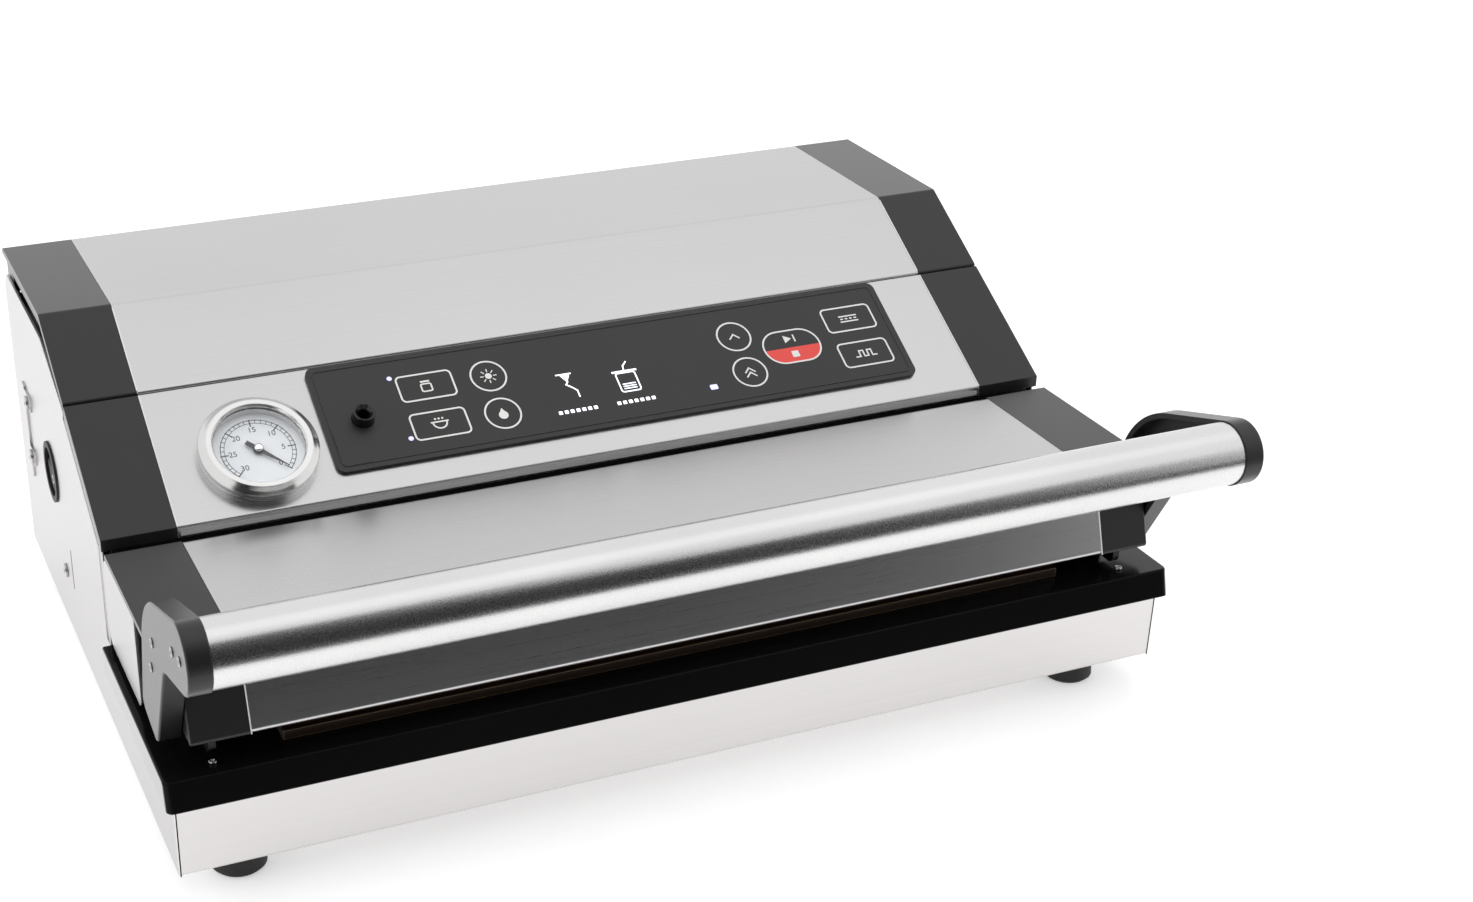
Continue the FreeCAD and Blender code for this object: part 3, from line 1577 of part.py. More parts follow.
def switch_bezel():
    """Round barrel of the mains switch, snapped into the left panel, with the rocker's axle."""
    face = V(-half, switch_y, switch_z)
    flange = rod(switch_flange, face, V(-1, 0, 0), switch_flange_thickness)
    barrel = rod(switch_radius, face, V(1, 0, 0), switch_depth)
    bore = rod(switch_bore, face - V(switch_flange_thickness, 0, 0), V(1, 0, 0), switch_depth - sheet)
    axle = rod(
        rocker_axle, V(-half + rocker_pivot_depth, switch_y - switch_bore - seam, switch_z), V(0, 1, 0),
        2 * (switch_bore + seam),
    )
    return flange.fuse(barrel).cut(bore).fuse(axle)


def power_rocker():
    """Round rocker on the axle, resting with its lower half out."""
    pivot = V(-half + rocker_pivot_depth, switch_y, switch_z)
    front = -half
    disc = rod(rocker_radius, V(front, switch_y, switch_z), V(1, 0, 0), rocker_depth)
    slant = math.tan(math.radians(rocker_tilt)) * rocker_radius
    wedge = Part.Face(Part.makePolygon([
        V(front - sheet, 0, switch_z - 2 * rocker_radius),
        V(front + 2 * slant, 0, switch_z - 2 * rocker_radius),
        V(front, 0, switch_z),
        V(front + 2 * slant, 0, switch_z + 2 * rocker_radius),
        V(front - sheet, 0, switch_z + 2 * rocker_radius),
        V(front - sheet, 0, switch_z - 2 * rocker_radius),
    ]))
    wedge.translate(V(0, switch_y - switch_bore, 0))
    bore = rod(rocker_axle + running_gap, pivot - V(0, switch_bore, 0), V(0, 1, 0), 2 * switch_bore)
    rocker = disc.cut([wedge.extrude(V(0, 2 * switch_bore, 0)), bore])
    rocker.rotate(pivot, V(0, 1, 0), rocker_tilt)
    return rocker


def assemble():
    """Return every named piece."""
    pieces = {
        "base_pan": base_pan(),
        "side_panel_left": side_panel_left(),
        "side_panel_right": side_panel(),
        "rear_panel": rear_panel(),
        "rubber_feet": rubber_feet(),
        "deck": deck(),
        "seal_bar": seal_bar(),
        "heating_element": heating_element(),
        "seal_tape": seal_tape(),
        "lower_gasket": lower_gasket(),
        "latch_strikes": latch_strikes(),
        "lid_hinge_brackets": lid_hinge_brackets(),
        "inner_chassis": inner_chassis(),
        "fascia_panel": fascia_panel(),
        "fascia_end_left": mirrored(fascia_end()),
        "fascia_end_right": fascia_end(),
        "control_plate": control_plate(),
        "control_board": control_board(),
        "accessory_port": accessory_port(),
        "gauge_case": gauge_case(),
        "gauge_bezel": gauge_bezel(),
        "gauge_dial": gauge_dial(),
        "gauge_lens": gauge_lens(),
        "gauge_needle": gauge_needle(),
        "roll_bay": roll_bay(),
        "bag_cutter": bag_cutter(),
        "vacuum_pump": vacuum_pump(),
        "pump_motor": pump_motor(),
        "release_valve": release_valve(),
        "vacuum_hose": vacuum_hose(),
        "transformer": transformer(),
        "power_inlet": power_inlet(),
        "switch_bezel": switch_bezel(),
        "power_rocker": power_rocker(),
        "lid_skin": lid_skin(),
        "lid_frame": lid_frame(),
        "lid_end_cap_left": mirrored(lid_end_cap()),
        "lid_end_cap_right": lid_end_cap(),
        "lid_side_plates": lid_side_plates(),
        "lid_liner": lid_liner(),
        "upper_gasket": upper_gasket(),
        "pressure_pad": pressure_pad(),
        "handle_tube": handle_tube(),
        "handle_arm_left": mirrored(handle_arm()),
        "handle_arm_right": handle_arm(),
        "handle_pivots": handle_pivots(),
        "cover_skin": cover_skin(),
        "cover_liner": cover_liner(),
        "cover_end_cap_left": mirrored(cover_end_cap()),
        "cover_end_cap_right": cover_end_cap(),
    }
    for name, kind, centre in key_places():
        pieces[name] = key(kind, centre)
    return pieces


def export(pieces):
    """Set the pieces down on the floor about the middle of their box and write them out."""
    os.makedirs("parts", exist_ok=True)
    front = tube_axis_y - arm_nose
    rear = body_depth + inlet_flange_thickness
    shift = V(0, -(front + rear) / 2, foot_height)
    for name, shape in pieces.items():
        placed = shape.copy()
        placed.translate(shift)
        placed.exportStep("parts/" + name + ".step")
    return shift


if __name__ == "__main__":
    placed_by = export(assemble())
    print("origin moved by", placed_by.y, placed_by.z)
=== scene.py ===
"""Looks of a countertop vacuum sealer around its CAD frame.

Each sub-assembly is a class that keeps its sizes as fields, builds the small pieces that belong to it
(screws, signs, lamps, dial figures) and gives its CAD nodes their finishes. Lengths are in metres.
"""

import logging
import math
from contextlib import contextmanager
from dataclasses import dataclass
from enum import Enum, auto
from typing import Callable, ClassVar, Iterator

import bpy
from mathutils import Matrix, Vector


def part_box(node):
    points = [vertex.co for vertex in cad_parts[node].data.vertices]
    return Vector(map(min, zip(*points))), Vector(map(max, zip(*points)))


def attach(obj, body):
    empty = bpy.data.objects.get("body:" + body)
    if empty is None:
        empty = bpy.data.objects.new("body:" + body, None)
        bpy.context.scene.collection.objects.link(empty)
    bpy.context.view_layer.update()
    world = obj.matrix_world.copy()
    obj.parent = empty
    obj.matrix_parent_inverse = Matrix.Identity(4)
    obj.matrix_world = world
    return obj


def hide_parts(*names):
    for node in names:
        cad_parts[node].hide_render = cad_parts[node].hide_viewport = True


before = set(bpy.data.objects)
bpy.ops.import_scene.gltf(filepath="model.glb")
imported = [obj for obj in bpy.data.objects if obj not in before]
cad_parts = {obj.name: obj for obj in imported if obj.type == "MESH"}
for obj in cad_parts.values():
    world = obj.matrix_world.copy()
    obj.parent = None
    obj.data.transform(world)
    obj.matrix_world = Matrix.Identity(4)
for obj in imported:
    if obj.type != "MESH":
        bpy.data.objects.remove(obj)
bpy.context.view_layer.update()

LOG = logging.getLogger("sealer")

MM = 0.001
SMOOTH_ANGLE = math.radians(40)  # edges sharper than this stay sharp
SQUARE_ON = 0.99  # least part of a normal along an axis, on a face square to it
CROWN_STEPS = 4  # steps across the round of a soft seal
SHADOW_PRINT = 0.05 * MM  # height of a printed shadow line

Point = tuple[float, float]
Place = tuple[float, float, float]
Colour = tuple[float, float, float]
Piece = bpy.types.Object
Socket = bpy.types.NodeSocket
Given = Socket | Colour | float
Inputs = dict[str | int, Given]

WHITE: Colour = (1.0, 1.0, 1.0)


class GrainAxis(Enum):
    """Direction of the brushing on a steel sheet, as stretch factors of the grain pattern."""

    ACROSS = (5.0, 1400.0, 1400.0)
    ALONG = (1400.0, 5.0, 1400.0)


class Element(Enum):
    """What is selected in edit mode, as Blender's switches for vertices, edges and faces."""

    VERTEX = (True, False, False)
    FACE = (False, False, True)


class Blend(Enum):
    """Way to mix two colours, as Blender names it."""

    COVER = "MIX"
    MULTIPLY = "MULTIPLY"


class SocketKind(Enum):
    """Kind of a node group's socket, as Blender names it."""

    VALUE = "NodeSocketFloat"
    VECTOR = "NodeSocketVector"


class Heading(Enum):
    """Way that a triangle points, as its turn from upright."""

    UP = 0.0
    RIGHT = -math.pi / 2
    DOWN = math.pi


class Side(Enum):
    """Left or right side of the machine, as the sign of X."""

    LEFT = -1
    RIGHT = 1

    @property
    def tag(self) -> str:
        """The side as names of nodes and pieces end in it."""
        return self.name.lower()

    @property
    def out(self) -> Vector:
        """The way out of this side."""
        return Vector((self.value, 0, 0))

    @property
    def turn(self) -> Matrix:
        """The turn of a sign onto this side, +X up and +Y to the front; a mirror on the left."""
        return Matrix(((0, 0, self.value, 0), (0, -1, 0, 0), (1, 0, 0, 0), (0, 0, 0, 1)))

    def face(self, node: str) -> float:
        """Return the X at which a node ends on this side."""
        low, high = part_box(node)
        return high.x if self is Side.RIGHT else low.x


# Mesh helpers


def mm(*values: float) -> tuple[float, ...]:
    """Return lengths that are given in millimetres."""
    return tuple(value * MM for value in values)


def spoke(angle: float, reach: float) -> Point:
    """Return the point at a reach from the middle, at an angle from +X."""
    return reach * math.cos(angle), reach * math.sin(angle)


def only(obj: Piece) -> Piece:
    """Make one object the only selected one and the active one.

    Args:
        obj: The object to work on.

    Returns:
        The same object.
    """
    bpy.ops.object.select_all(action="DESELECT")
    obj.select_set(True)
    bpy.context.view_layer.objects.active = obj
    return obj


def added(operator: Callable[..., set[str]], **values: object) -> Piece:
    """Add an object with nothing else selected.

    Args:
        operator: Blender's operator that adds it.
        values: What the operator is given.

    Returns:
        The new object.
    """
    bpy.ops.object.select_all(action="DESELECT")
    operator(**values)
    return bpy.context.object


@contextmanager
def editing(obj: Piece, element: Element = Element.FACE) -> Iterator[None]:
    """Hold one object in edit mode.

    Args:
        obj: The mesh object.
        element: What is selected there.

    Returns:
        Nothing; used in a with statement.
    """
    only(obj)
    bpy.context.tool_settings.mesh_select_mode = element.value
    bpy.ops.object.mode_set(mode="EDIT")
    yield
    bpy.ops.object.mode_set(mode="OBJECT")


@contextmanager
def editing_all(obj: Piece, element: Element = Element.FACE) -> Iterator[None]:
    """Hold one object in edit mode with all of it selected.

    Args:
        obj: The mesh object.
        element: What is selected there.

    Returns:
        Nothing; used in a with statement.
    """
    with editing(obj, element):
        bpy.ops.mesh.select_all(action="SELECT")
        yield


def pick_faces(obj: Piece, test: Callable[[bpy.types.MeshPolygon], bool]) -> None:
    """Leave selected only the faces that pass a test.

    Args:
        obj: The mesh object, in object mode.
        test: Says whether a face is wanted.
    """
    with editing(obj):
        bpy.ops.mesh.select_all(action="DESELECT")
    for face in obj.data.polygons:
        face.select = test(face)


def extrude(height: float) -> None:
    """Extrude what is selected in edit mode along Z."""
    bpy.ops.mesh.extrude_region_move(TRANSFORM_OT_translate={"value": (0, 0, height)})


def smooth() -> None:
    """Shade the selected piece smooth between its sharp edges."""
    bpy.ops.object.shade_smooth_by_angle(angle=SMOOTH_ANGLE)


def apply_place() -> None:
    """Put the selected piece's place, turn and scale into its mesh."""
    bpy.ops.object.transform_apply(location=True, rotation=True, scale=True)


def apply_bevel(obj: Piece, width: float, segments: int = 2) -> None:
    """Round the sharp edges of a piece with a bevel that is applied.

    Args:
        obj: The mesh object.
        width: Width of the bevel.
        segments: Steps across it.
    """
    only(obj)
    bevel = obj.modifiers.new("edge", "BEVEL")
    bevel.width = width
    bevel.segments = segments
    bevel.limit_method = "ANGLE"
    bpy.ops.object.modifier_apply(modifier=bevel.name)
    smooth()


def settle(obj: Piece, matrix: Matrix) -> Piece:
    """Move a piece and put its place into its mesh.

    Args:
        obj: The piece, built about the origin.
        matrix: Where it goes.

    Returns:
        The same piece.
    """
    obj.matrix_world = matrix
    only(obj)
    apply_place()
    return obj


def twin(source: Piece) -> Piece:
    """Copy a piece.

    Args:
        source: The piece.

    Returns:
        The copy, with a mesh of its own.
    """
    made = source.copy()
    made.data = source.data.copy()
    bpy.context.scene.collection.objects.link(made)
    return made


def join(pieces: list[Piece], name: str) -> Piece:
    """Make several pieces one.

    Args:
        pieces: The pieces to join.
        name: Name of the result.

    Returns:
        The joined piece.
    """
    first = only(pieces[0])
    for piece in pieces[1:]:
        piece.select_set(True)
    if len(pieces) > 1:
        bpy.ops.object.join()
    first.name = name
    first.data.name = name
    return first


def dome(radius: float, rise: float) -> Piece:
    """Model a shallow dome that stands on the XY plane about the origin.

    Args:
        radius: Its radius.
        rise: What is left of a half ball's height.

    Returns:
        The dome.
    """
    made = added(bpy.ops.mesh.primitive_uv_sphere_add, segments=24, ring_count=12, radius=radius)
    with editing_all(made):
        bpy.ops.mesh.bisect(plane_co=(0, 0, 0), plane_no=(0, 0, -1), clear_outer=True, use_fill=True)
        bpy.ops.mesh.select_all(action="SELECT")
        bpy.ops.transform.resize(value=(1, 1, rise))
    smooth()
    return made


FACING_FRONT = Matrix(((1, 0, 0, 0), (0, 0, -1, 0), (0, 1, 0, 0), (0, 0, 0, 1)))


def turned_to(normal: Vector) -> Matrix:
    """Return the turn that brings +Z onto a direction, with +X kept level where it can be."""
    return normal.to_track_quat("Z", "Y").to_matrix().to_4x4()


# Node helpers

MIX_MASK, MIX_LOW, MIX_HIGH, MIX_RESULT = 0, 6, 7, 2  # a Mix node's sockets when it mixes colours


class Graph:
    """Adds and links nodes in one node tree."""

    def __init__(self, tree: bpy.types.NodeTree) -> None:
        """Keep the tree."""
        self.tree = tree

    def feed(self, given: Given, target: Socket) -> None:
        """Link an output to an input, or set a colour or a number on it.

        Args:
            given: What the input gets.
            target: The input.
        """
        if isinstance(given, Socket):
            self.tree.links.new(given, target)
        elif target.type == "RGBA":
            target.default_value = (*given, 1.0)
        else:
            target.default_value = given

    def wire(self, node: bpy.types.Node, inputs: Inputs) -> None:
        """Feed several inputs of a node, by name or number."""
        for key, given in inputs.items():
            self.feed(given, node.inputs[key])

    def add(self, kind: str, inputs: Inputs | None = None, **properties: object) -> bpy.types.Node:
        """Add a node, set its properties and feed its inputs.

        Args:
            kind: Blender's name of the node type.
            inputs: What its inputs get.
            properties: Properties to set on it.

        Returns:
            The node.
        """
        node = self.tree.nodes.new(kind)
        for key, value in properties.items():
            setattr(node, key, value)
        self.wire(node, inputs or {})
        return node

    def placed(self, group: bpy.types.NodeTree, **inputs: Given) -> bpy.types.bpy_prop_collection:
        """Return the outputs of a shared node group, placed with its own values."""
        return self.add("ShaderNodeGroup", inputs, node_tree=group).outputs

    def here(self) -> Socket:
        """Return the place on the piece, in its own coordinates."""
        return self.add("ShaderNodeTexCoord").outputs["Object"]

    def noise(self, place: Socket, scale: Given, detail: float, roughness: float = 0.5) -> Socket:
        """Return a noise pattern."""
        inputs = {"Vector": place, "Scale": scale, "Detail": detail, "Roughness": roughness}
        return self.add("ShaderNodeTexNoise", inputs).outputs["Fac"]

    def mixed(self, mask: Given, low: Given, high: Given, blend: Blend = Blend.COVER) -> Socket:
        """Mix two colours.

        Args:
            mask: How much of the second one shows.
            low: The first colour.
            high: The second colour.
            blend: How they are mixed.

        Returns:
            The mixed colour.
        """
        inputs = {MIX_MASK: mask, MIX_LOW: low, MIX_HIGH: high}
        mix = self.add("ShaderNodeMix", inputs, data_type="RGBA", blend_type=blend.value)
        return mix.outputs[MIX_RESULT]

    def ranged(self, value: Socket, low: float, high: float) -> Socket:
        """Return a value from 0 to 1 spread between two limits."""
        inputs = {"Value": value, "To Min": low, "To Max": high}
        return self.add("ShaderNodeMapRange", inputs).outputs["Result"]


class Effects:
    """Shader node groups that several finishes share, each built once."""

    def __init__(self) -> None:
        """Build every group."""
        self.grain = self.sheet_grain()
        self.edge = self.edge_wear_and_highlight()
        self.mould = self.mould_grain()

    @staticmethod
    def new_group(
        name: str, inputs: dict[str, SocketKind], outputs: dict[str, SocketKind]
    ) -> tuple[Graph, bpy.types.bpy_prop_collection, bpy.types.Node]:
        """Start a node group.

        Args:
            name: Name of the group.
            inputs: Kind of each input, by name.
            outputs: Kind of each output, by name.

        Returns:
            Its graph, what it is given, by name, and the node that puts out its results.
        """
        tree = bpy.data.node_groups.new(name, "ShaderNodeTree")
        for direction, sockets in (("INPUT", inputs), ("OUTPUT", outputs)):
            for socket, kind in sockets.items():
                tree.interface.new_socket(name=socket, in_out=direction, socket_type=kind.value)
        graph = Graph(tree)
        return graph, graph.add("NodeGroupInput").outputs, graph.add("NodeGroupOutput")

    def sheet_grain(self) -> bpy.types.NodeTree:
        """Build the fine drawn streaks and the broad clouds of a brushed sheet.

        Returns:
            The node group.
        """
        graph, given, end = self.new_group(
            "SheetGrain", {"Stretch": SocketKind.VECTOR},
            {"Streak": SocketKind.VALUE, "Cloud": SocketKind.VALUE},
        )
        place = graph.here()
        drawn = graph.add("ShaderNodeVectorMath", {0: place, 1: given["Stretch"]}, operation="MULTIPLY")
        graph.wire(end, {
            "Streak": graph.noise(drawn.outputs[0], scale=1.0, detail=5.0, roughness=0.65),
            "Cloud": graph.noise(place, scale=6.0, detail=2.0),
        })
        return graph.tree

    def edge_wear_and_highlight(self) -> bpy.types.NodeTree:
        """Build a rounded normal at sharp edges and a mask of those edges; the finishes lighten their
        edges along that mask, as painted highlight and as wear.

        Returns:
            The node group.
        """
        graph, given, end = self.new_group(
            "EdgeWearAndHighlight", {"Radius": SocketKind.VALUE},
            {"Edge": SocketKind.VALUE, "Normal": SocketKind.VECTOR},
        )
        rounded = graph.add("ShaderNodeBevel", {"Radius": given["Radius"]}, samples=6).outputs["Normal"]
        flat = graph.add("ShaderNodeNewGeometry").outputs["Normal"]
        alike = graph.add("ShaderNodeVectorMath", {0: rounded, 1: flat}, operation="DOT_PRODUCT")
        mask = graph.add(
            "ShaderNodeMapRange", {"Value": alike.outputs["Value"], "From Min": 0.98, "From Max": 0.80}
        )
        graph.wire(end, {"Edge": mask.outputs["Result"], "Normal": rounded})
        return graph.tree

    def mould_grain(self) -> bpy.types.NodeTree:
        """Build the fine texture of a moulded surface and its slow change of tone.

        Returns:
            The node group.
        """
        graph, given, end = self.new_group(
            "MouldGrain", {"Scale": SocketKind.VALUE},
            {"Height": SocketKind.VALUE, "Mottle": SocketKind.VALUE},
        )
        place = graph.here()
        graph.wire(end, {
            "Height": graph.noise(place, scale=given["Scale"], detail=3.0),
            "Mottle": graph.noise(place, scale=14.0, detail=4.0),
        })
        return graph.tree


def new_material(name: str) -> tuple[bpy.types.Material, Graph, bpy.types.Node]:
    """Start a material.

    Args:
        name: Its name.

    Returns:
        The material, its graph and its Principled shader.
    """
    material = bpy.data.materials.new(name)
    material.use_nodes = True
    return material, Graph(material.node_tree), material.node_tree.nodes["Principled BSDF"]


def shade(colour: Colour, factor: float) -> Colour:
    """Return a colour made lighter or darker."""
    return tuple(min(1.0, channel * factor) for channel in colour)


# Finishes


@dataclass(frozen=True)
class Finish:
    """What every finish has: a colour, a roughness and the radius of its edges.

    The tones and the spread are the least and the most that a pattern multiplies the colour and the
    roughness by.
    """

    name: str
    colour: Colour
    roughness: float = 0.4
    edge_radius: float = 0.4 * MM

    tones: ClassVar[Point] = (0.82, 1.18)
    spread: ClassVar[Point] = (0.85, 1.15)
    bump_depth: ClassVar[float] = 0.1 * MM

    def material(self, effects: Effects) -> bpy.types.Material:
        """Make the finish's material, which each kind of finish does in its own way."""
        raise NotImplementedError(self.name)

    def toned(self, graph: Graph, pattern: Socket) -> Socket:
        """Return the colour, made darker and lighter by a pattern."""
        return graph.mixed(pattern, *(shade(self.colour, tone) for tone in self.tones))

    def roughened(self, graph: Graph, pattern: Socket) -> Socket:
        """Return the roughness, made finer and coarser by a pattern."""
        return graph.ranged(pattern, *(self.roughness * share for share in self.spread))

    def bumped(self, graph: Graph, normal: Socket, height: Socket, strength: float) -> Socket:
        """Return the normal of the surface, raised by a height pattern on top of its rounded edges."""
        inputs = {"Strength": strength, "Distance": self.bump_depth, "Height": height, "Normal": normal}
        return graph.add("ShaderNodeBump", inputs).outputs["Normal"]


@dataclass(frozen=True)
class BrushedMetal(Finish):
    """Metal with drawn streaks along one direction, with a painted highlight that makes its edges a
    little brighter.
    """

    axis: GrainAxis = GrainAxis.ACROSS
    grain: float = 0.03

    tones: ClassVar[Point] = (0.955, 1.045)
    spread: ClassVar[Point] = (0.88, 1.14)
    cloud_tone: ClassVar[float] = 0.93
    # how much lighter the painted highlight along the sharp edges makes the colour
    edge_highlight_tone: ClassVar[float] = 1.35

    def material(self, effects: Effects) -> bpy.types.Material:
        """Make the metal's material.

        Args:
            effects: The shared node groups.

        Returns:
            The material.
        """
        material, graph, shader = new_material(self.name)
        edge = graph.placed(effects.edge, Radius=self.edge_radius)
        grain = graph.placed(effects.grain, Stretch=self.axis.value)
        cloud = graph.mixed(grain["Cloud"], shade(WHITE, self.cloud_tone), WHITE)
        clouded = graph.mixed(1.0, self.toned(graph, grain["Streak"]), cloud, Blend.MULTIPLY)
        graph.wire(shader, {
            # painted highlight: the colour turns lighter along sharp edges
            "Base Color": graph.mixed(edge["Edge"], clouded, shade(self.colour, self.edge_highlight_tone)),
            "Metallic": 1.0,
            "Roughness": self.roughened(graph, grain["Streak"]),
            "Normal": self.bumped(graph, edge["Normal"], grain["Streak"], self.grain),
        })
        return material


@dataclass(frozen=True)
class PlainMetal(Finish):
    """Polished, cast or anodised metal with an even fine texture."""

    scale: float = 1500.0
    grain: float = 0.05

    tones: ClassVar[Point] = (0.9, 1.08)
    spread: ClassVar[Point] = (0.75, 1.25)

    def material(self, effects: Effects) -> bpy.types.Material:
        """Make the metal's material.

        Args:
            effects: The shared node groups.

        Returns:
            The material.
        """
        material, graph, shader = new_material(self.name)
        edge = graph.placed(effects.edge, Radius=self.edge_radius)
        mould = graph.placed(effects.mould, Scale=self.scale)
        graph.wire(shader, {
            "Base Color": self.toned(graph, mould["Mottle"]),
            "Metallic": 1.0,
            "Roughness": self.roughened(graph, mould["Height"]),
            "Normal": self.bumped(graph, edge["Normal"], mould["Height"], self.grain),
        })
        return material


@dataclass(frozen=True)
class Moulded(Finish):
    """Moulded plastic or rubber: fine texture, edges a little lighter from wear and from a painted
    highlight, sheen at low angles.
    """

    scale: float = 2200.0
    grain: float = 0.10
    # how much lighter the edges are: partly wear, partly a painted highlight
    wear_and_highlight: float = 1.8
    gloss: float = 0.5
    glaze: float = 0.0
    glaze_roughness: float = 0.25
    glaze_ior: float = 2.6

    def material(self, effects: Effects) -> bpy.types.Material:
        """Make the plastic's material.

        Args:
            effects: The shared node groups.

        Returns:
            The material.
        """
        material, graph, shader = new_material(self.name)
        edge = graph.placed(effects.edge, Radius=self.edge_radius)
        mould = graph.placed(effects.mould, Scale=self.scale)
        tone = self.toned(graph, mould["Mottle"])
        graph.wire(shader, {
            # lighter edges: partly wear, partly a painted highlight
            "Base Color": graph.mixed(edge["Edge"], tone, shade(self.colour, self.wear_and_highlight)),
            "Roughness": self.roughened(graph, mould["Height"]),
            "Specular IOR Level": self.gloss,
            "Normal": self.bumped(graph, edge["Normal"], mould["Height"], self.grain),
        })
        if self.glaze:
            self.lay_glaze(graph, shader)
        return material

    def lay_glaze(self, graph: Graph, shader: bpy.types.Node) -> None:
        """Lay a sheen over the plastic that rises at low angles.

        Args:
            graph: The material's graph.
            shader: Its shader.
        """
        facing = graph.add("ShaderNodeLayerWeight", {"Blend": 0.5}).outputs["Facing"]
        rise = graph.add(
            "ShaderNodeMapRange",
            {"Value": facing, "From Min": 0.50, "From Max": 0.72, "To Max": self.glaze},
        )
        graph.wire(shader, {
            "Coat Weight": rise.outputs["Result"],
            "Coat Roughness": self.glaze_roughness,
            "Coat IOR": self.glaze_ior,
        })


@dataclass(frozen=True)
class Woven(Finish):
    """Coated glass cloth: a fine plain weave under a thin skin, lighter at its hem."""

    pitch: float = 0.6 * MM
    hem: Colour = (0.38, 0.26, 0.13)
    relief: float = 0.4

    tones: ClassVar[Point] = (0.7, 1.15)
    wave_rate: ClassVar[float] = 20.0  # a wave texture's own turn per metre at scale 1

    def material(self, effects: Effects) -> bpy.types.Material:
        """Make the cloth's material.

        Args:
            effects: The shared node groups.

        Returns:
            The material.
        """
        material, graph, shader = new_material(self.name)
        edge = graph.placed(effects.edge, Radius=self.edge_radius)
        inputs = {
            "Vector": graph.here(), "Scale": math.tau / (self.pitch * self.wave_rate), "Distortion": 0.4
        }
        threads = [
            graph.add("ShaderNodeTexWave", inputs, bands_direction=direction).outputs["Fac"]
            for direction in ("X", "Y")
        ]
        height = graph.add("ShaderNodeMath", dict(enumerate(threads)), operation="MULTIPLY").outputs[0]
        graph.wire(shader, {
            "Base Color": graph.mixed(edge["Edge"], self.toned(graph, height), self.hem),
            "Roughness": self.roughness,
            "Normal": self.bumped(graph, edge["Normal"], height, self.relief),
        })
        return material


@dataclass(frozen=True)
class ClearPane(Finish):
    """Clear window with a trace of haze."""

    haze_scale: float = 60.0
    ior: float = 1.3

    spread: ClassVar[Point] = (0.5, 1.5)

    def material(self, effects: Effects) -> bpy.types.Material:
        """Make the window's material.

        Args:
            effects: The shared node groups.

        Returns:
            The material.
        """
        material, graph, shader = new_material(self.name)
        mould = graph.placed(effects.mould, Scale=self.haze_scale)
        graph.wire(shader, {
            "Base Color": self.colour,
            "Roughness": self.roughened(graph, mould["Height"]),
            "Transmission Weight": 1.0,
            "IOR": self.ior,
        })
        return material


@dataclass(frozen=True)
class Glow(Finish):
    """Lit lamp or symbol with a fine change of tone."""

    strength: float = 1.5
    scale: float = 700.0

    tones: ClassVar[Point] = (0.85, 1.1)

    def material(self, effects: Effects) -> bpy.types.Material:
        """Make the lamp's material.

        Args:
            effects: The shared node groups.

        Returns:
            The material.
        """
        material, graph, shader = new_material(self.name)
        tone = self.toned(graph, graph.placed(effects.mould, Scale=self.scale)["Height"])
        graph.wire(shader, {
            "Base Color": tone,
            "Emission Color": tone,
            "Emission Strength": self.strength,
            "Roughness": self.roughness,
        })
        return material


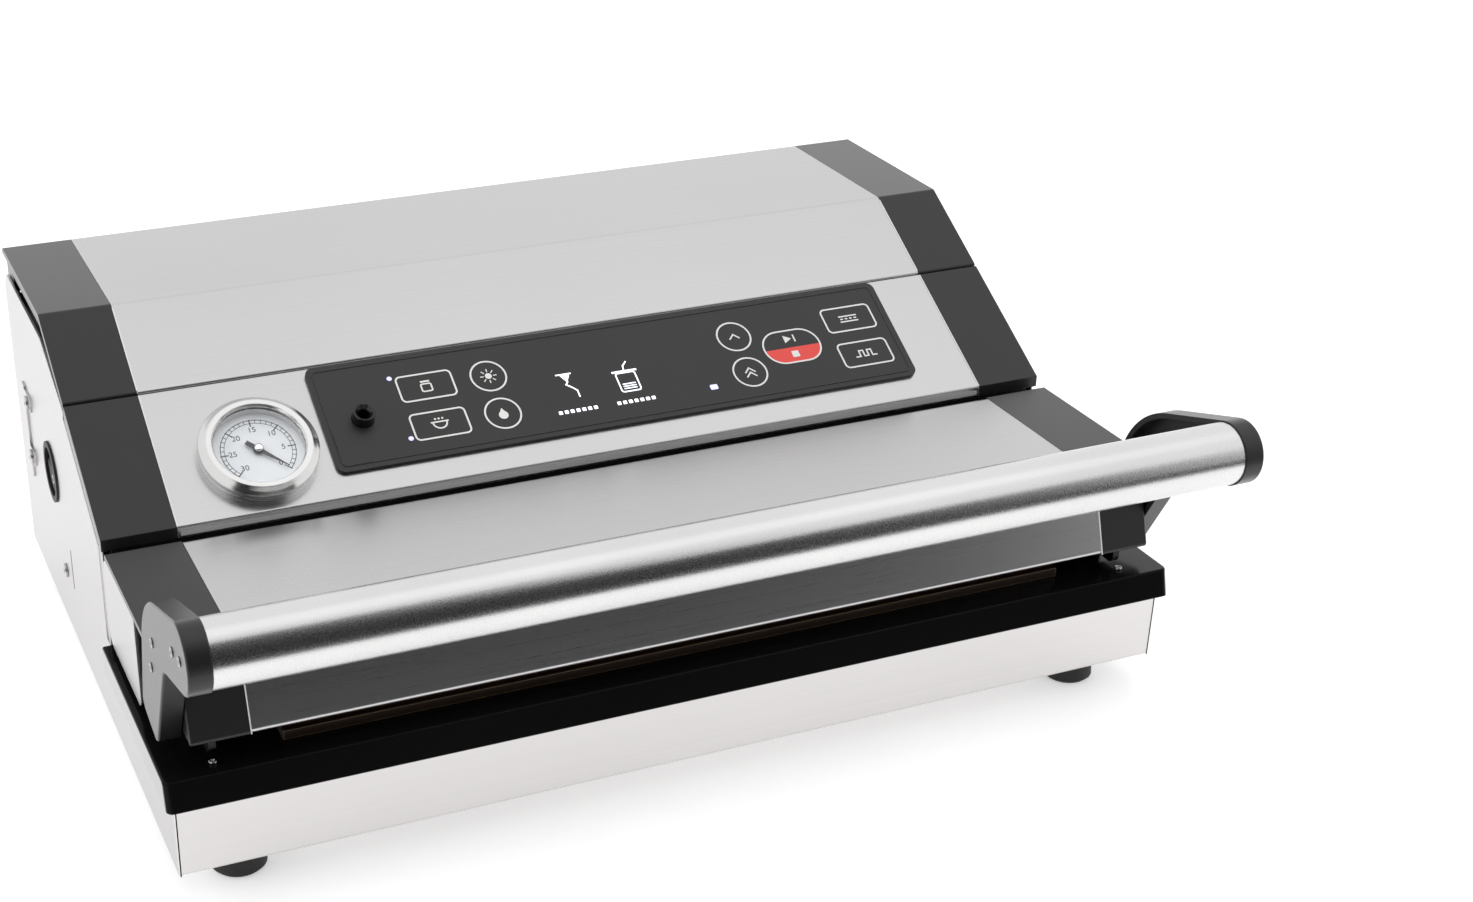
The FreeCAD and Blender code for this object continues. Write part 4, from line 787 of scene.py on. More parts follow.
class Surface(Enum):
    """Every finish on the machine: its name, colour, roughness and edge radius, then its own values."""

    STEEL_ACROSS = BrushedMetal("steel_across", (0.61, 0.608, 0.61), 0.28, 0.5 * MM)
    STEEL_PAN = BrushedMetal("steel_pan", (0.725, 0.705, 0.70), 0.30, 0.5 * MM, grain=0.012)
    STEEL_ALONG = BrushedMetal("steel_along", (0.61, 0.60, 0.60), 0.34, 0.4 * MM, axis=GrainAxis.ALONG)
    HARDWARE = PlainMetal("hardware_steel", (0.56, 0.555, 0.55), 0.28, 0.2 * MM)
    BLACKENED = PlainMetal("blackened_steel", (0.045, 0.045, 0.047), 0.38, 0.2 * MM)
    # painted highlight: a light grey line that stands for light on a sheet's cut edge
    SHEET_EDGE_HIGHLIGHT = Moulded("sheet_edge_highlight", (0.80, 0.80, 0.79), 0.35, 0.1 * MM,
                         scale=900.0, grain=0.02, wear_and_highlight=1.0)
    # painted highlight: a mid-grey strip that stands for light on the fascia's folded lip
    HEM = Moulded("hem_steel", (0.46, 0.45, 0.45), 0.35, 0.1 * MM, scale=900.0, grain=0.02, wear_and_highlight=1.0)
    TUBE = PlainMetal("satin_tube", (0.74, 0.735, 0.735), 0.26, 0.5 * MM, scale=2600.0, grain=0.22)
    CHROME = PlainMetal("polished_ring", (0.74, 0.735, 0.73), 0.16, 0.7 * MM, scale=400.0, grain=0.01)
    CAST = PlainMetal("cast_aluminium", (0.50, 0.50, 0.50), 0.45, 0.4 * MM, scale=900.0, grain=0.3)
    ELEMENT = PlainMetal("heating_strip", (0.60, 0.50, 0.36), 0.35, 0.1 * MM, scale=1200.0, grain=0.1)
    STRIP = Moulded("strip_plastic", (0.010, 0.010, 0.0103), 0.40, 0.5 * MM, glaze=0.45)
    ARM = Moulded("arm_plastic", (0.012, 0.012, 0.0123), 0.40, 0.6 * MM, glaze=0.4, glaze_ior=2.2)
    # The deck's large edge factor paints a bright highlight line along its sharp edges.
    DECK = Moulded("deck_plastic", (0.0055, 0.0054, 0.0054), 0.14, 0.6 * MM,
                   scale=900.0, grain=0.02, wear_and_highlight=18.0, gloss=0.07,
                   glaze=1.0, glaze_roughness=0.18, glaze_ior=3.2)
    INNER = Moulded("inner_plastic", (0.012, 0.012, 0.012), 0.5, 0.4 * MM, gloss=0.35)
    PLATE = Moulded("plate_film", (0.019, 0.019, 0.0195), 0.46, 0.25 * MM,
                    scale=3000.0, grain=0.06, wear_and_highlight=1.4, gloss=0.45)
    PORT = Moulded("port_plastic", (0.008, 0.008, 0.008), 0.18, 0.5 * MM, scale=900.0, grain=0.02)
    RUBBER = Moulded("foot_rubber", (0.014, 0.014, 0.014), 0.62, 0.6 * MM, scale=1400.0, grain=0.25)
    FOAM = Moulded("gasket_foam", (0.018, 0.018, 0.019), 0.85, 1.2 * MM,
                   scale=1100.0, grain=0.9, wear_and_highlight=1.2, gloss=0.2)
    SILICONE = Moulded("pad_silicone", (0.030, 0.010, 0.008), 0.45, 0.8 * MM,
                       scale=800.0, grain=0.08, wear_and_highlight=1.1)
    BOARD = Moulded("board_green", (0.02, 0.13, 0.05), 0.4, 0.1 * MM, scale=500.0, grain=0.1, wear_and_highlight=1.2)
    WINDING = Moulded("winding_lacquer", (0.05, 0.035, 0.03), 0.45, 0.3 * MM, scale=1600.0, grain=0.3)
    CUTTER = Moulded("cutter_red", (0.36, 0.035, 0.03), 0.4, 0.4 * MM,
                     scale=1500.0, grain=0.1, wear_and_highlight=1.2)
    DIAL = Moulded("dial_white", (0.90, 0.94, 0.99), 0.5, 0.1 * MM, scale=1200.0, grain=0.02, wear_and_highlight=1.0)
    INK = Moulded("dial_ink", (0.025, 0.027, 0.035), 0.5, 0.05 * MM,
                  scale=3000.0, grain=0.02, wear_and_highlight=1.0)
    SIGN_WHITE = Moulded("sign_white", (0.80, 0.80, 0.78), 0.55, 0.05 * MM,
                         scale=2500.0, grain=0.02, wear_and_highlight=1.0, gloss=0.3)
    SIGN_RED = Moulded("sign_red", (0.80, 0.085, 0.075), 0.5, 0.05 * MM,
                       scale=2500.0, grain=0.02, wear_and_highlight=1.0, gloss=0.3)
    SHADOW = Moulded("slot_shadow", (0.01, 0.01, 0.01), 0.8, 0.05 * MM,
                     scale=1500.0, grain=0.02, wear_and_highlight=1.0, gloss=0.1)
    TAPE = Woven("seal_tape", (0.030, 0.016, 0.008), 0.42, 0.5 * MM)
    PANE = ClearPane("gauge_window", (0.99, 0.995, 1.0), 0.03)
    LAMP = Glow("lamp_blue", (0.55, 0.55, 1.0), 0.3, strength=0.85)
    SYMBOL = Glow("symbol_light", (0.86, 0.88, 1.0), 0.4, strength=1.2)


Finishes = dict[Surface, tuple[str, ...]]


class Shelf:
    """Makes each finish's material once and puts it on pieces."""

    def __init__(self) -> None:
        """Build the shared effects and every material."""
        effects = Effects()
        self.materials = {surface: surface.value.material(effects) for surface in Surface}

    def paint(self, obj: Piece, surface: Surface) -> None:
        """Give a piece one finish all over."""
        obj.data.materials.clear()
        obj.data.materials.append(self.materials[surface])


@dataclass
class Assembly:
    """What every sub-assembly has: the shelf of finishes, and the CAD nodes that take each of them."""

    shelf: Shelf

    finishes: ClassVar[Finishes] = {}

    def hand_over(self, obj: Piece, body: str, surface: Surface, slot: str) -> Piece:
        """Finish a new piece and let it ride on a body.

        Args:
            obj: The piece, in place.
            body: The CAD body that it moves with.
            surface: Its finish.
            slot: The record's material slot for the piece; not used.

        Returns:
            The same piece.
        """
        self.shelf.paint(obj, surface)
        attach(obj, body)
        LOG.info("piece %s on %s", obj.name, body)
        return obj

    def build(self) -> None:
        """Model the pieces that the frame doesn't have."""

    def dress(self) -> None:
        """Give the CAD nodes their finishes."""
        for surface, nodes in self.finishes.items():
            for node in nodes:
                self.shelf.paint(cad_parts[node], surface)


# Small hardware


@dataclass(frozen=True)
class ScrewHead:
    """Round screw head with a socket in its middle."""

    radius: float
    height: float
    socket: float
    sides: int = 24
    socket_depth: float = 0.75  # share of the height
    edge: float = 0.22  # share of the height

    def model(self) -> Piece:
        """Model one head, standing on the XY plane about the origin.

        Returns:
            The head.
        """
        head = added(
            bpy.ops.mesh.primitive_cylinder_add, vertices=self.sides, radius=self.radius,
            depth=self.height, location=(0, 0, self.height / 2),
        )
        apply_place()
        pick_faces(head, lambda face: face.normal.z > SQUARE_ON)
        with editing(head):
            bpy.ops.mesh.inset(thickness=self.radius - self.socket)
            extrude(-self.height * self.socket_depth)
        apply_bevel(head, self.height * self.edge)
        return head

    def row(self, name: str, places: list[Vector], normal: Vector) -> Piece:
        """Set heads at several places.

        Args:
            name: Name of the joined piece.
            places: Where each head sits.
            normal: The way that they face.

        Returns:
            All heads as one piece.
        """
        model = self.model()
        turn = turned_to(normal)
        heads = [settle(twin(model), Matrix.Translation(place) @ turn) for place in places]
        bpy.data.objects.remove(model)
        return join(heads, name)


# Flat signs


class SignPen:
    """Draws a flat sign in the XY plane from bars, rings, discs and plates, and raises it."""

    layer: ClassVar[float] = 0.004 * MM
    layers: ClassVar[int] = 8
    ring_sides: ClassVar[int] = 48
    corner_steps: ClassVar[int] = 8

    def __init__(self, name: str) -> None:
        """Start an empty sign."""
        self.name = name
        self.strokes: list[Piece] = []

    def keep(self, stroke: Piece) -> Piece:
        """Keep a new object as a stroke, a hair off the last one so that no faces coincide.

        Args:
            stroke: The object, still selected.

        Returns:
            The stroke.
        """
        stroke.location.z = len(self.strokes) % self.layers * self.layer
        apply_place()
        self.strokes.append(stroke)
        return stroke

    def rectangle(self, width: float, height: float, centre: Point, turn: float = 0.0) -> Piece:
        """Draw a filled rectangle with sharp corners.

        Args:
            width: Its width.
            height: Its height.
            centre: Its middle.
            turn: Its turn.

        Returns:
            The stroke.
        """
        sheet = added(
            bpy.ops.mesh.primitive_plane_add, size=1, location=(*centre, 0), rotation=(0, 0, turn)
        )
        sheet.scale = (width, height, 1)
        return self.keep(sheet)

    def bar(self, start: Point, end: Point, width: float) -> None:
        """Draw a straight bar between two points.

        Args:
            start: One end.
            end: The other end.
            width: Width of the bar, which reaches half of it beyond both ends.
        """
        first, last = Vector(start), Vector(end)
        span = last - first
        turn = math.atan2(span.y, span.x)
        self.rectangle(span.length + width, width, (first + last) / 2, turn)

    def path(self, points: list[Point], width: float) -> None:
        """Draw bars through several points."""
        for start, end in zip(points, points[1:]):
            self.bar(start, end, width)

    def disc(self, centre: Point, radius: float, sides: int = 32, turn: float = 0.0) -> Piece:
        """Draw a filled disc.

        Args:
            centre: Its middle.
            radius: Its radius.
            sides: How many sides it has.
            turn: Its turn.

        Returns:
            The stroke.
        """
        flat = added(
            bpy.ops.mesh.primitive_circle_add, vertices=sides, radius=radius, fill_type="NGON",
            location=(*centre, 0), rotation=(0, 0, turn),
        )
        return self.keep(flat)

    def triangle(self, centre: Point, radius: float, heading: Heading) -> None:
        """Draw a filled triangle with equal sides."""
        self.disc(centre, radius, 3, heading.value)

    def ring(self, centre: Point, radius: float, width: float,
             keep: Callable[[Vector], bool] | None = None) -> None:
        """Draw a ring, or the part of it that a test keeps.

        Args:
            centre: Its middle.
            radius: Its outer radius.
            width: Width of its line.
            keep: Says, by a face's place from the middle, whether it stays.
        """
        stroke = self.disc(centre, radius, self.ring_sides)
        self.hollow(stroke, width)
        if keep:
            middle = Vector((*centre, 0))
            pick_faces(stroke, lambda face: not keep(face.center - middle))
            with editing(stroke):
                bpy.ops.mesh.delete(type="FACE")

    def plate(self, width: float, height: float, corner: float, centre: Point = (0, 0)) -> Piece:
        """Draw a filled rectangle with round corners.

        Args:
            width: Its width.
            height: Its height.
            corner: Radius of its corners.
            centre: Its middle.

        Returns:
            The stroke.
        """
        stroke = self.rectangle(width, height, centre)
        with editing_all(stroke, Element.VERTEX):
            bpy.ops.mesh.bevel(offset=corner, segments=self.corner_steps, affect="VERTICES")
        return stroke

    def outline(self, width: float, height: float, corner: float, line: float,
                centre: Point = (0, 0)) -> None:
        """Draw the line round a rectangle with round corners."""
        self.hollow(self.plate(width, height, corner, centre), line)

    def hollow(self, stroke: Piece, line: float) -> None:
        """Leave only the rim of a filled stroke.

        Args:
            stroke: The filled stroke.
            line: Width of the rim.
        """
        with editing_all(stroke):
            bpy.ops.mesh.inset(thickness=line)
            bpy.ops.mesh.delete(type="FACE")

    def number(self, text: str, centre: Point, size: float) -> None:
        """Write a plain number.

        Args:
            text: Its figures.
            centre: Its middle.
            size: Their size.
        """
        figure = added(bpy.ops.object.text_add, location=(*centre, 0))
        figure.data.body = text
        figure.data.size = size
        figure.data.align_x = "CENTER"
        figure.data.align_y = "CENTER"
        only(figure)
        bpy.ops.object.convert(target="MESH")
        self.keep(bpy.context.object)

    def raised(self, matrix: Matrix, thickness: float) -> Piece:
        """Join the strokes, raise them and put the sign in place.

        Args:
            matrix: Where the sign's plane goes. It may be a mirror, so the normals come after it.
            thickness: Height of the print.

        Returns:
            The sign.
        """
        sign = join(self.strokes, self.name)
        with editing_all(sign):
            extrude(thickness)
        settle(sign, matrix)
        with editing_all(sign):
            bpy.ops.mesh.normals_make_consistent(inside=False)
        return sign


@dataclass(frozen=True)
class Slope:
    """Plane of the control face: x across, drop below its upper edge, height above it."""

    foot_y: float = -19.2 * MM
    foot_z: float = 105.0 * MM
    length: float = 66.4 * MM
    angle: float = math.radians(30.0)

    def along(self, reach: float) -> Point:
        """Return Y and Z at a reach up the slope from its foot."""
        return self.foot_y + reach * math.cos(self.angle), self.foot_z + reach * math.sin(self.angle)

    def at(self, x: float, drop: float, height: float) -> Matrix:
        """Find a place on the slope.

        Args:
            x: How far to the right.
            drop: How far below the upper edge.
            height: How far out of the slope.

        Returns:
            The place, with Y up the slope and Z out of it.
        """
        turn = Matrix.Rotation(self.angle, 4, "X")
        foot = Matrix.Translation((x, self.foot_y, self.foot_z))
        return foot @ turn @ Matrix.Translation((0, self.length - drop, height))


# Soft seals and sheet edges


@dataclass(frozen=True)
class FoamRing:
    """Foam gasket: a closed ring with a crowned free side, in the place of its CAD solid."""

    node: str
    body: str
    width: float = 7.0 * MM
    corner: float = 14.0 * MM
    crown: float = 2.2 * MM
    fill: float = 0.9

    def build(self, assembly: Assembly) -> None:
        """Model the ring and let it stand for its node.

        Args:
            assembly: The sub-assembly that it belongs to.
        """
        low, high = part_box(self.node)
        size = high - low
        pen = SignPen(f"{self.node}_foam")
        pen.outline(size.x, size.y, self.corner, self.width)
        middle = (low + high) / 2
        ring = pen.raised(Matrix.Translation((middle.x, middle.y, low.z)), size.z)
        apply_bevel(ring, self.crown, CROWN_STEPS)
        assembly.hand_over(ring, self.body, Surface.FOAM, "foam")
        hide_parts(self.node)


@dataclass(frozen=True)
class PressStrip:
    """Silicone strip with round edges and a shallow groove along its pressing face."""

    node: str
    body: str
    crown: float = 1.2 * MM
    groove: float = 0.5 * MM
    fill: float = 1.0

    def build(self, assembly: Assembly) -> None:
        """Model the strip and let it stand for its node.

        Args:
            assembly: The sub-assembly that it belongs to.
        """
        low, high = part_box(self.node)
        strip = added(bpy.ops.mesh.primitive_cube_add, size=1, location=(low + high) / 2)
        strip.name = f"{self.node}_strip"
        strip.scale = high - low
        apply_place()
        apply_bevel(strip, self.crown, CROWN_STEPS)
        pick_faces(strip, lambda face: face.normal.z < -SQUARE_ON)
        with editing(strip):
            bpy.ops.mesh.inset(thickness=self.groove)
            extrude(self.groove / 2)
        assembly.hand_over(strip, self.body, Surface.SILICONE, "pad_silicone")
        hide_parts(self.node)


@dataclass(frozen=True)
class SheetEdgeHighlight:
    """Painted highlights along the cut edges of a brushed sheet, beside the dark strips at its two ends.

    The straight run of the sheet is given by its start and end in Y and Z.
    """

    name: str
    body: str
    start: Point
    end: Point
    x: float = 184.2 * MM
    width: float = 0.5 * MM
    height: float = 0.2 * MM

    def build(self, assembly: Assembly) -> None:
        """Model both painted highlight lines.

        Args:
            assembly: The sub-assembly that they belong to.
        """
        run = Vector(self.end) - Vector(self.start)
        tilt = Matrix.Rotation(math.atan2(run.y, run.x), 4, "X")
        pen = SignPen(self.name)
        for side in Side:
            x = side.value * self.x
            pen.bar((x, self.width), (x, run.length - self.width), self.width)
        edges = pen.raised(Matrix.Translation((0, *self.start)) @ tilt, self.height)
        assembly.hand_over(edges, self.body, Surface.SHEET_EDGE_HIGHLIGHT, "steel")


# Sub-assemblies


@dataclass
class BodyShell(Assembly):
    """Steel pan, side panels, back and feet, with the screws and hinge leaves on them."""

    panel_screw: ScrewHead = ScrewHead(*mm(3.2, 1.2, 1.5))
    leaf_screw: ScrewHead = ScrewHead(*mm(3.4, 1.4, 1.4))
    leaf_y: float = 145.6 * MM
    leaf_z: float = 82.0 * MM
    leaf_width: float = 7.0 * MM
    leaf_height: float = 46.0 * MM
    leaf_corner: float = 1.5 * MM
    leaf_thickness: float = 1.0 * MM
    leaf_screw_places: tuple[Point, ...] = (mm(134.1, 100.0), mm(137.1, 72.0))
    side_screw: Point = mm(77.6, 43.0)
    slit_y: float = 61.1 * MM
    slit_z: float = 51.5 * MM
    slit_height: float = 19.0 * MM
    slit_width: float = 1.0 * MM
    slit_corner: float = 0.45 * MM
    rear_screw_x: tuple[float, ...] = mm(-204, 204)
    rear_screw_z: tuple[float, ...] = mm(24, 128)
    seam_inset: float = 0.5 * MM
    seam_width: float = 0.5 * MM
    pan_screw_x: float = 196 * MM
    pan_screw_y: tuple[float, ...] = mm(-70, 0, 70)

    finishes: ClassVar[Finishes] = {
        Surface.STEEL_PAN: ("base_pan", "rear_panel"),
        Surface.STEEL_ALONG: ("side_panel_left", "side_panel_right"),
        Surface.RUBBER: ("rubber_feet",),
    }

    def set_screws(self, head: ScrewHead, name: str, places: list[Vector], out: Vector) -> None:
        """Set a row of screws on the body."""
        self.hand_over(head.row(name, places, out), "base", Surface.HARDWARE, "hardware_steel")

    def hinge_leaf(self, side: Side, face: float) -> None:
        """Model the raised leaf on a side panel, with an ear to each of its screws.

        Args:
            side: Which side.
            face: X of the panel's outer face.
        """
        pen = SignPen(f"hinge_leaf_{side.tag}")
        pen.plate(self.leaf_height, self.leaf_width, self.leaf_corner)
        for y, z in self.leaf_screw_places:
            lift = z - self.leaf_z
            pen.bar((lift, self.leaf_width), (lift, self.leaf_y - y), self.leaf_width)
        place = Matrix.Translation((face, self.leaf_y, self.leaf_z)) @ side.turn
        self.hand_over(pen.raised(place, self.leaf_thickness), "base", Surface.STEEL_ALONG, "steel")

    def side_screws(self, side: Side, face: float) -> None:
        """Set the screws of one side panel.

        Args:
            side: Which side.
            face: X of the panel's outer face.
        """
        leaf_face = face + side.value * self.leaf_thickness
        places = [Vector((leaf_face, y, z)) for y, z in self.leaf_screw_places]
        self.set_screws(self.leaf_screw, f"leaf_screws_{side.tag}", places, side.out)
        places = [Vector((face, *self.side_screw))]
        self.set_screws(self.panel_screw, f"side_screw_{side.tag}", places, side.out)

    def side_slit(self, side: Side, face: float) -> None:
        """Draw the slit of one side panel as a strip of painted shade.

        Args:
            side: Which side.
            face: X of the panel's outer face.
        """
        pen = SignPen(f"side_slit_{side.tag}")
        pen.plate(self.slit_height, self.slit_width, self.slit_corner)
        place = Matrix.Translation((face, self.slit_y, self.slit_z)) @ side.turn
        self.hand_over(pen.raised(place, SHADOW_PRINT), "base", Surface.SHADOW, "inner_black")

    def corner_seams(self) -> None:
        """Draw the seam at each end of the pan's front as a line of painted shade."""
        low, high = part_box("base_pan")
        pen = SignPen("corner_seams")
        for end in (low.x + self.seam_inset, high.x - self.seam_inset):
            pen.bar((end, low.z + self.seam_width), (end, high.z - self.seam_width), self.seam_width)
        seams = pen.raised(Matrix.Translation((0, low.y, 0)) @ FACING_FRONT, SHADOW_PRINT)
        self.hand_over(seams, "base", Surface.SHADOW, "inner_black")

    def build(self) -> None:
        """Model the leaves, slits, seams and screws."""
        for side in Side:
            face = side.face(f"side_panel_{side.tag}")
            self.hinge_leaf(side, face)
            self.side_screws(side, face)
            self.side_slit(side, face)
        self.corner_seams()
        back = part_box("rear_panel")[1].y
        places = [Vector((x, back, z)) for x in self.rear_screw_x for z in self.rear_screw_z]
        self.set_screws(self.panel_screw, "rear_screws", places, Vector((0, 1, 0)))
        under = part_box("base_pan")[0].z
        places = [Vector((s.value * self.pan_screw_x, y, under)) for s in Side for y in self.pan_screw_y]
        self.set_screws(self.panel_screw, "pan_screws", places, Vector((0, 0, -1)))


@dataclass
class Deck(Assembly):
    """Glossy deck with the seal bar, gasket, strikes and lid hinges."""

    screw: ScrewHead = ScrewHead(*mm(1.6, 1.2, 0.7))
    screw_x: float = 198.0 * MM
    screw_y: float = -115.9 * MM
    gasket: FoamRing = FoamRing("lower_gasket", "base")

    finishes: ClassVar[Finishes] = {
        Surface.DECK: ("deck",),
        Surface.CAST: ("seal_bar",),
        Surface.ELEMENT: ("heating_element",),
        Surface.TAPE: ("seal_tape",),
        Surface.FOAM: ("lower_gasket",),
        Surface.BLACKENED: ("latch_strikes", "lid_hinge_brackets"),
    }

    def build(self) -> None:
        """Set the bright screws at the deck's front corners and lay the gasket."""
        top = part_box("deck")[1].z
        places = [Vector((side.value * self.screw_x, self.screw_y, top)) for side in Side]
        heads = self.screw.row("deck_screws", places, Vector((0, 0, 1)))
        self.hand_over(heads, "base", Surface.CHROME, "hardware_steel")
        self.gasket.build(self)


@dataclass
class Lid(Assembly):
    """Lid: brushed skin over a black moulding, with its gasket and pressure pad."""

    gasket: FoamRing = FoamRing("upper_gasket", "lid")
    pad: PressStrip = PressStrip("pressure_pad", "lid")
    # edge: painted highlight lines at the ends of the front sheet
    edge: SheetEdgeHighlight = SheetEdgeHighlight("lid_edge_highlight", "lid", mm(-121.9, 69.5), mm(-110.9, 102.0))

    finishes: ClassVar[Finishes] = {
        Surface.STEEL_ACROSS: ("lid_skin",),
        Surface.STEEL_ALONG: ("lid_side_plates",),
        Surface.STRIP: ("lid_end_cap_left", "lid_end_cap_right"),
        Surface.INNER: ("lid_frame", "lid_liner"),
        Surface.FOAM: ("upper_gasket",),
        Surface.SILICONE: ("pressure_pad",),
    }

    def build(self) -> None:
        """Model the soft seals and the painted highlights at the ends of the front sheet."""
        for piece in (self.gasket, self.pad, self.edge):
            piece.build(self)


@dataclass
class Handle(Assembly):
    """Grip tube between two arms, with the arms' screws."""

    screw: ScrewHead = ScrewHead(*mm(1.9, 0.5, 1.0))
    screw_places: tuple[Point, ...] = (
        mm(-115.7, 112.0), mm(-110.4, 99.0), mm(-150.7, 127.6), mm(-162.2, 130.2)
    )

    finishes: ClassVar[Finishes] = {
        Surface.TUBE: ("handle_tube",),
        Surface.ARM: ("handle_arm_left", "handle_arm_right"),
        Surface.BLACKENED: ("handle_pivots",),
    }

    def build(self) -> None:
        """Set the screws on the arms' outer faces."""
        for side in Side:
            face = side.face(f"handle_arm_{side.tag}")
            places = [Vector((face, y, z)) for y, z in self.screw_places]
            heads = self.screw.row(f"arm_screws_{side.tag}", places, side.out)
            self.hand_over(heads, "handle", Surface.CAST, "hardware_steel")


@dataclass
class RollStore(Assembly):
    """Roll cover, the bay under it and the bag cutter."""

    slope: Slope = Slope()
    edge_start: float = 68.5 * MM
    edge_end: float = 113.5 * MM

    finishes: ClassVar[Finishes] = {
        Surface.STEEL_ACROSS: ("cover_skin",),
        Surface.STRIP: ("cover_end_cap_left", "cover_end_cap_right"),
        Surface.INNER: ("cover_liner", "roll_bay"),
        Surface.CUTTER: ("bag_cutter",),
    }

    def build(self) -> None:
        """Model the painted highlights at the ends of the cover's front sheet."""
        ends = (self.slope.along(self.edge_start), self.slope.along(self.edge_end))
        SheetEdgeHighlight("cover_edge_highlight", "roll_cover", *ends).build(self)


class KeyRow(Enum):
    """Row of a key, as its drop below the slope's upper edge."""

    UPPER = 19.25 * MM
    MIDDLE = 29.3 * MM
    LOWER = 39.35 * MM


class KeyShape(Enum):
    """Outline of a key."""

    SQUARE = auto()
    ROUND = auto()
    CAPSULE = auto()


class KeySign(Enum):
    """Symbol on a key."""

    JAR = auto()
    BOWL = auto()
    SUN = auto()
    DROP = auto()
    CHEVRON = auto()
    CHEVRONS = auto()
    START = auto()
    SEAL = auto()
    WAVE = auto()


@dataclass(frozen=True)
class KeySpot:
    """One key: its node, which is also its body, its row, its outline and its symbol."""

    node: str
    row: KeyRow
    shape: KeyShape
    sign: KeySign


KEYS = (
    KeySpot("canister_key", KeyRow.UPPER, KeyShape.SQUARE, KeySign.JAR),
    KeySpot("marinate_key", KeyRow.LOWER, KeyShape.SQUARE, KeySign.BOWL),
    KeySpot("dry_key", KeyRow.UPPER, KeyShape.ROUND, KeySign.SUN),
    KeySpot("moist_key", KeyRow.LOWER, KeyShape.ROUND, KeySign.DROP),
    KeySpot("gentle_key", KeyRow.UPPER, KeyShape.ROUND, KeySign.CHEVRON),
    KeySpot("normal_key", KeyRow.LOWER, KeyShape.ROUND, KeySign.CHEVRONS),
    KeySpot("start_key", KeyRow.MIDDLE, KeyShape.CAPSULE, KeySign.START),
    KeySpot("seal_key", KeyRow.UPPER, KeyShape.SQUARE, KeySign.SEAL),
    KeySpot("pulse_key", KeyRow.LOWER, KeyShape.SQUARE, KeySign.WAVE),
)


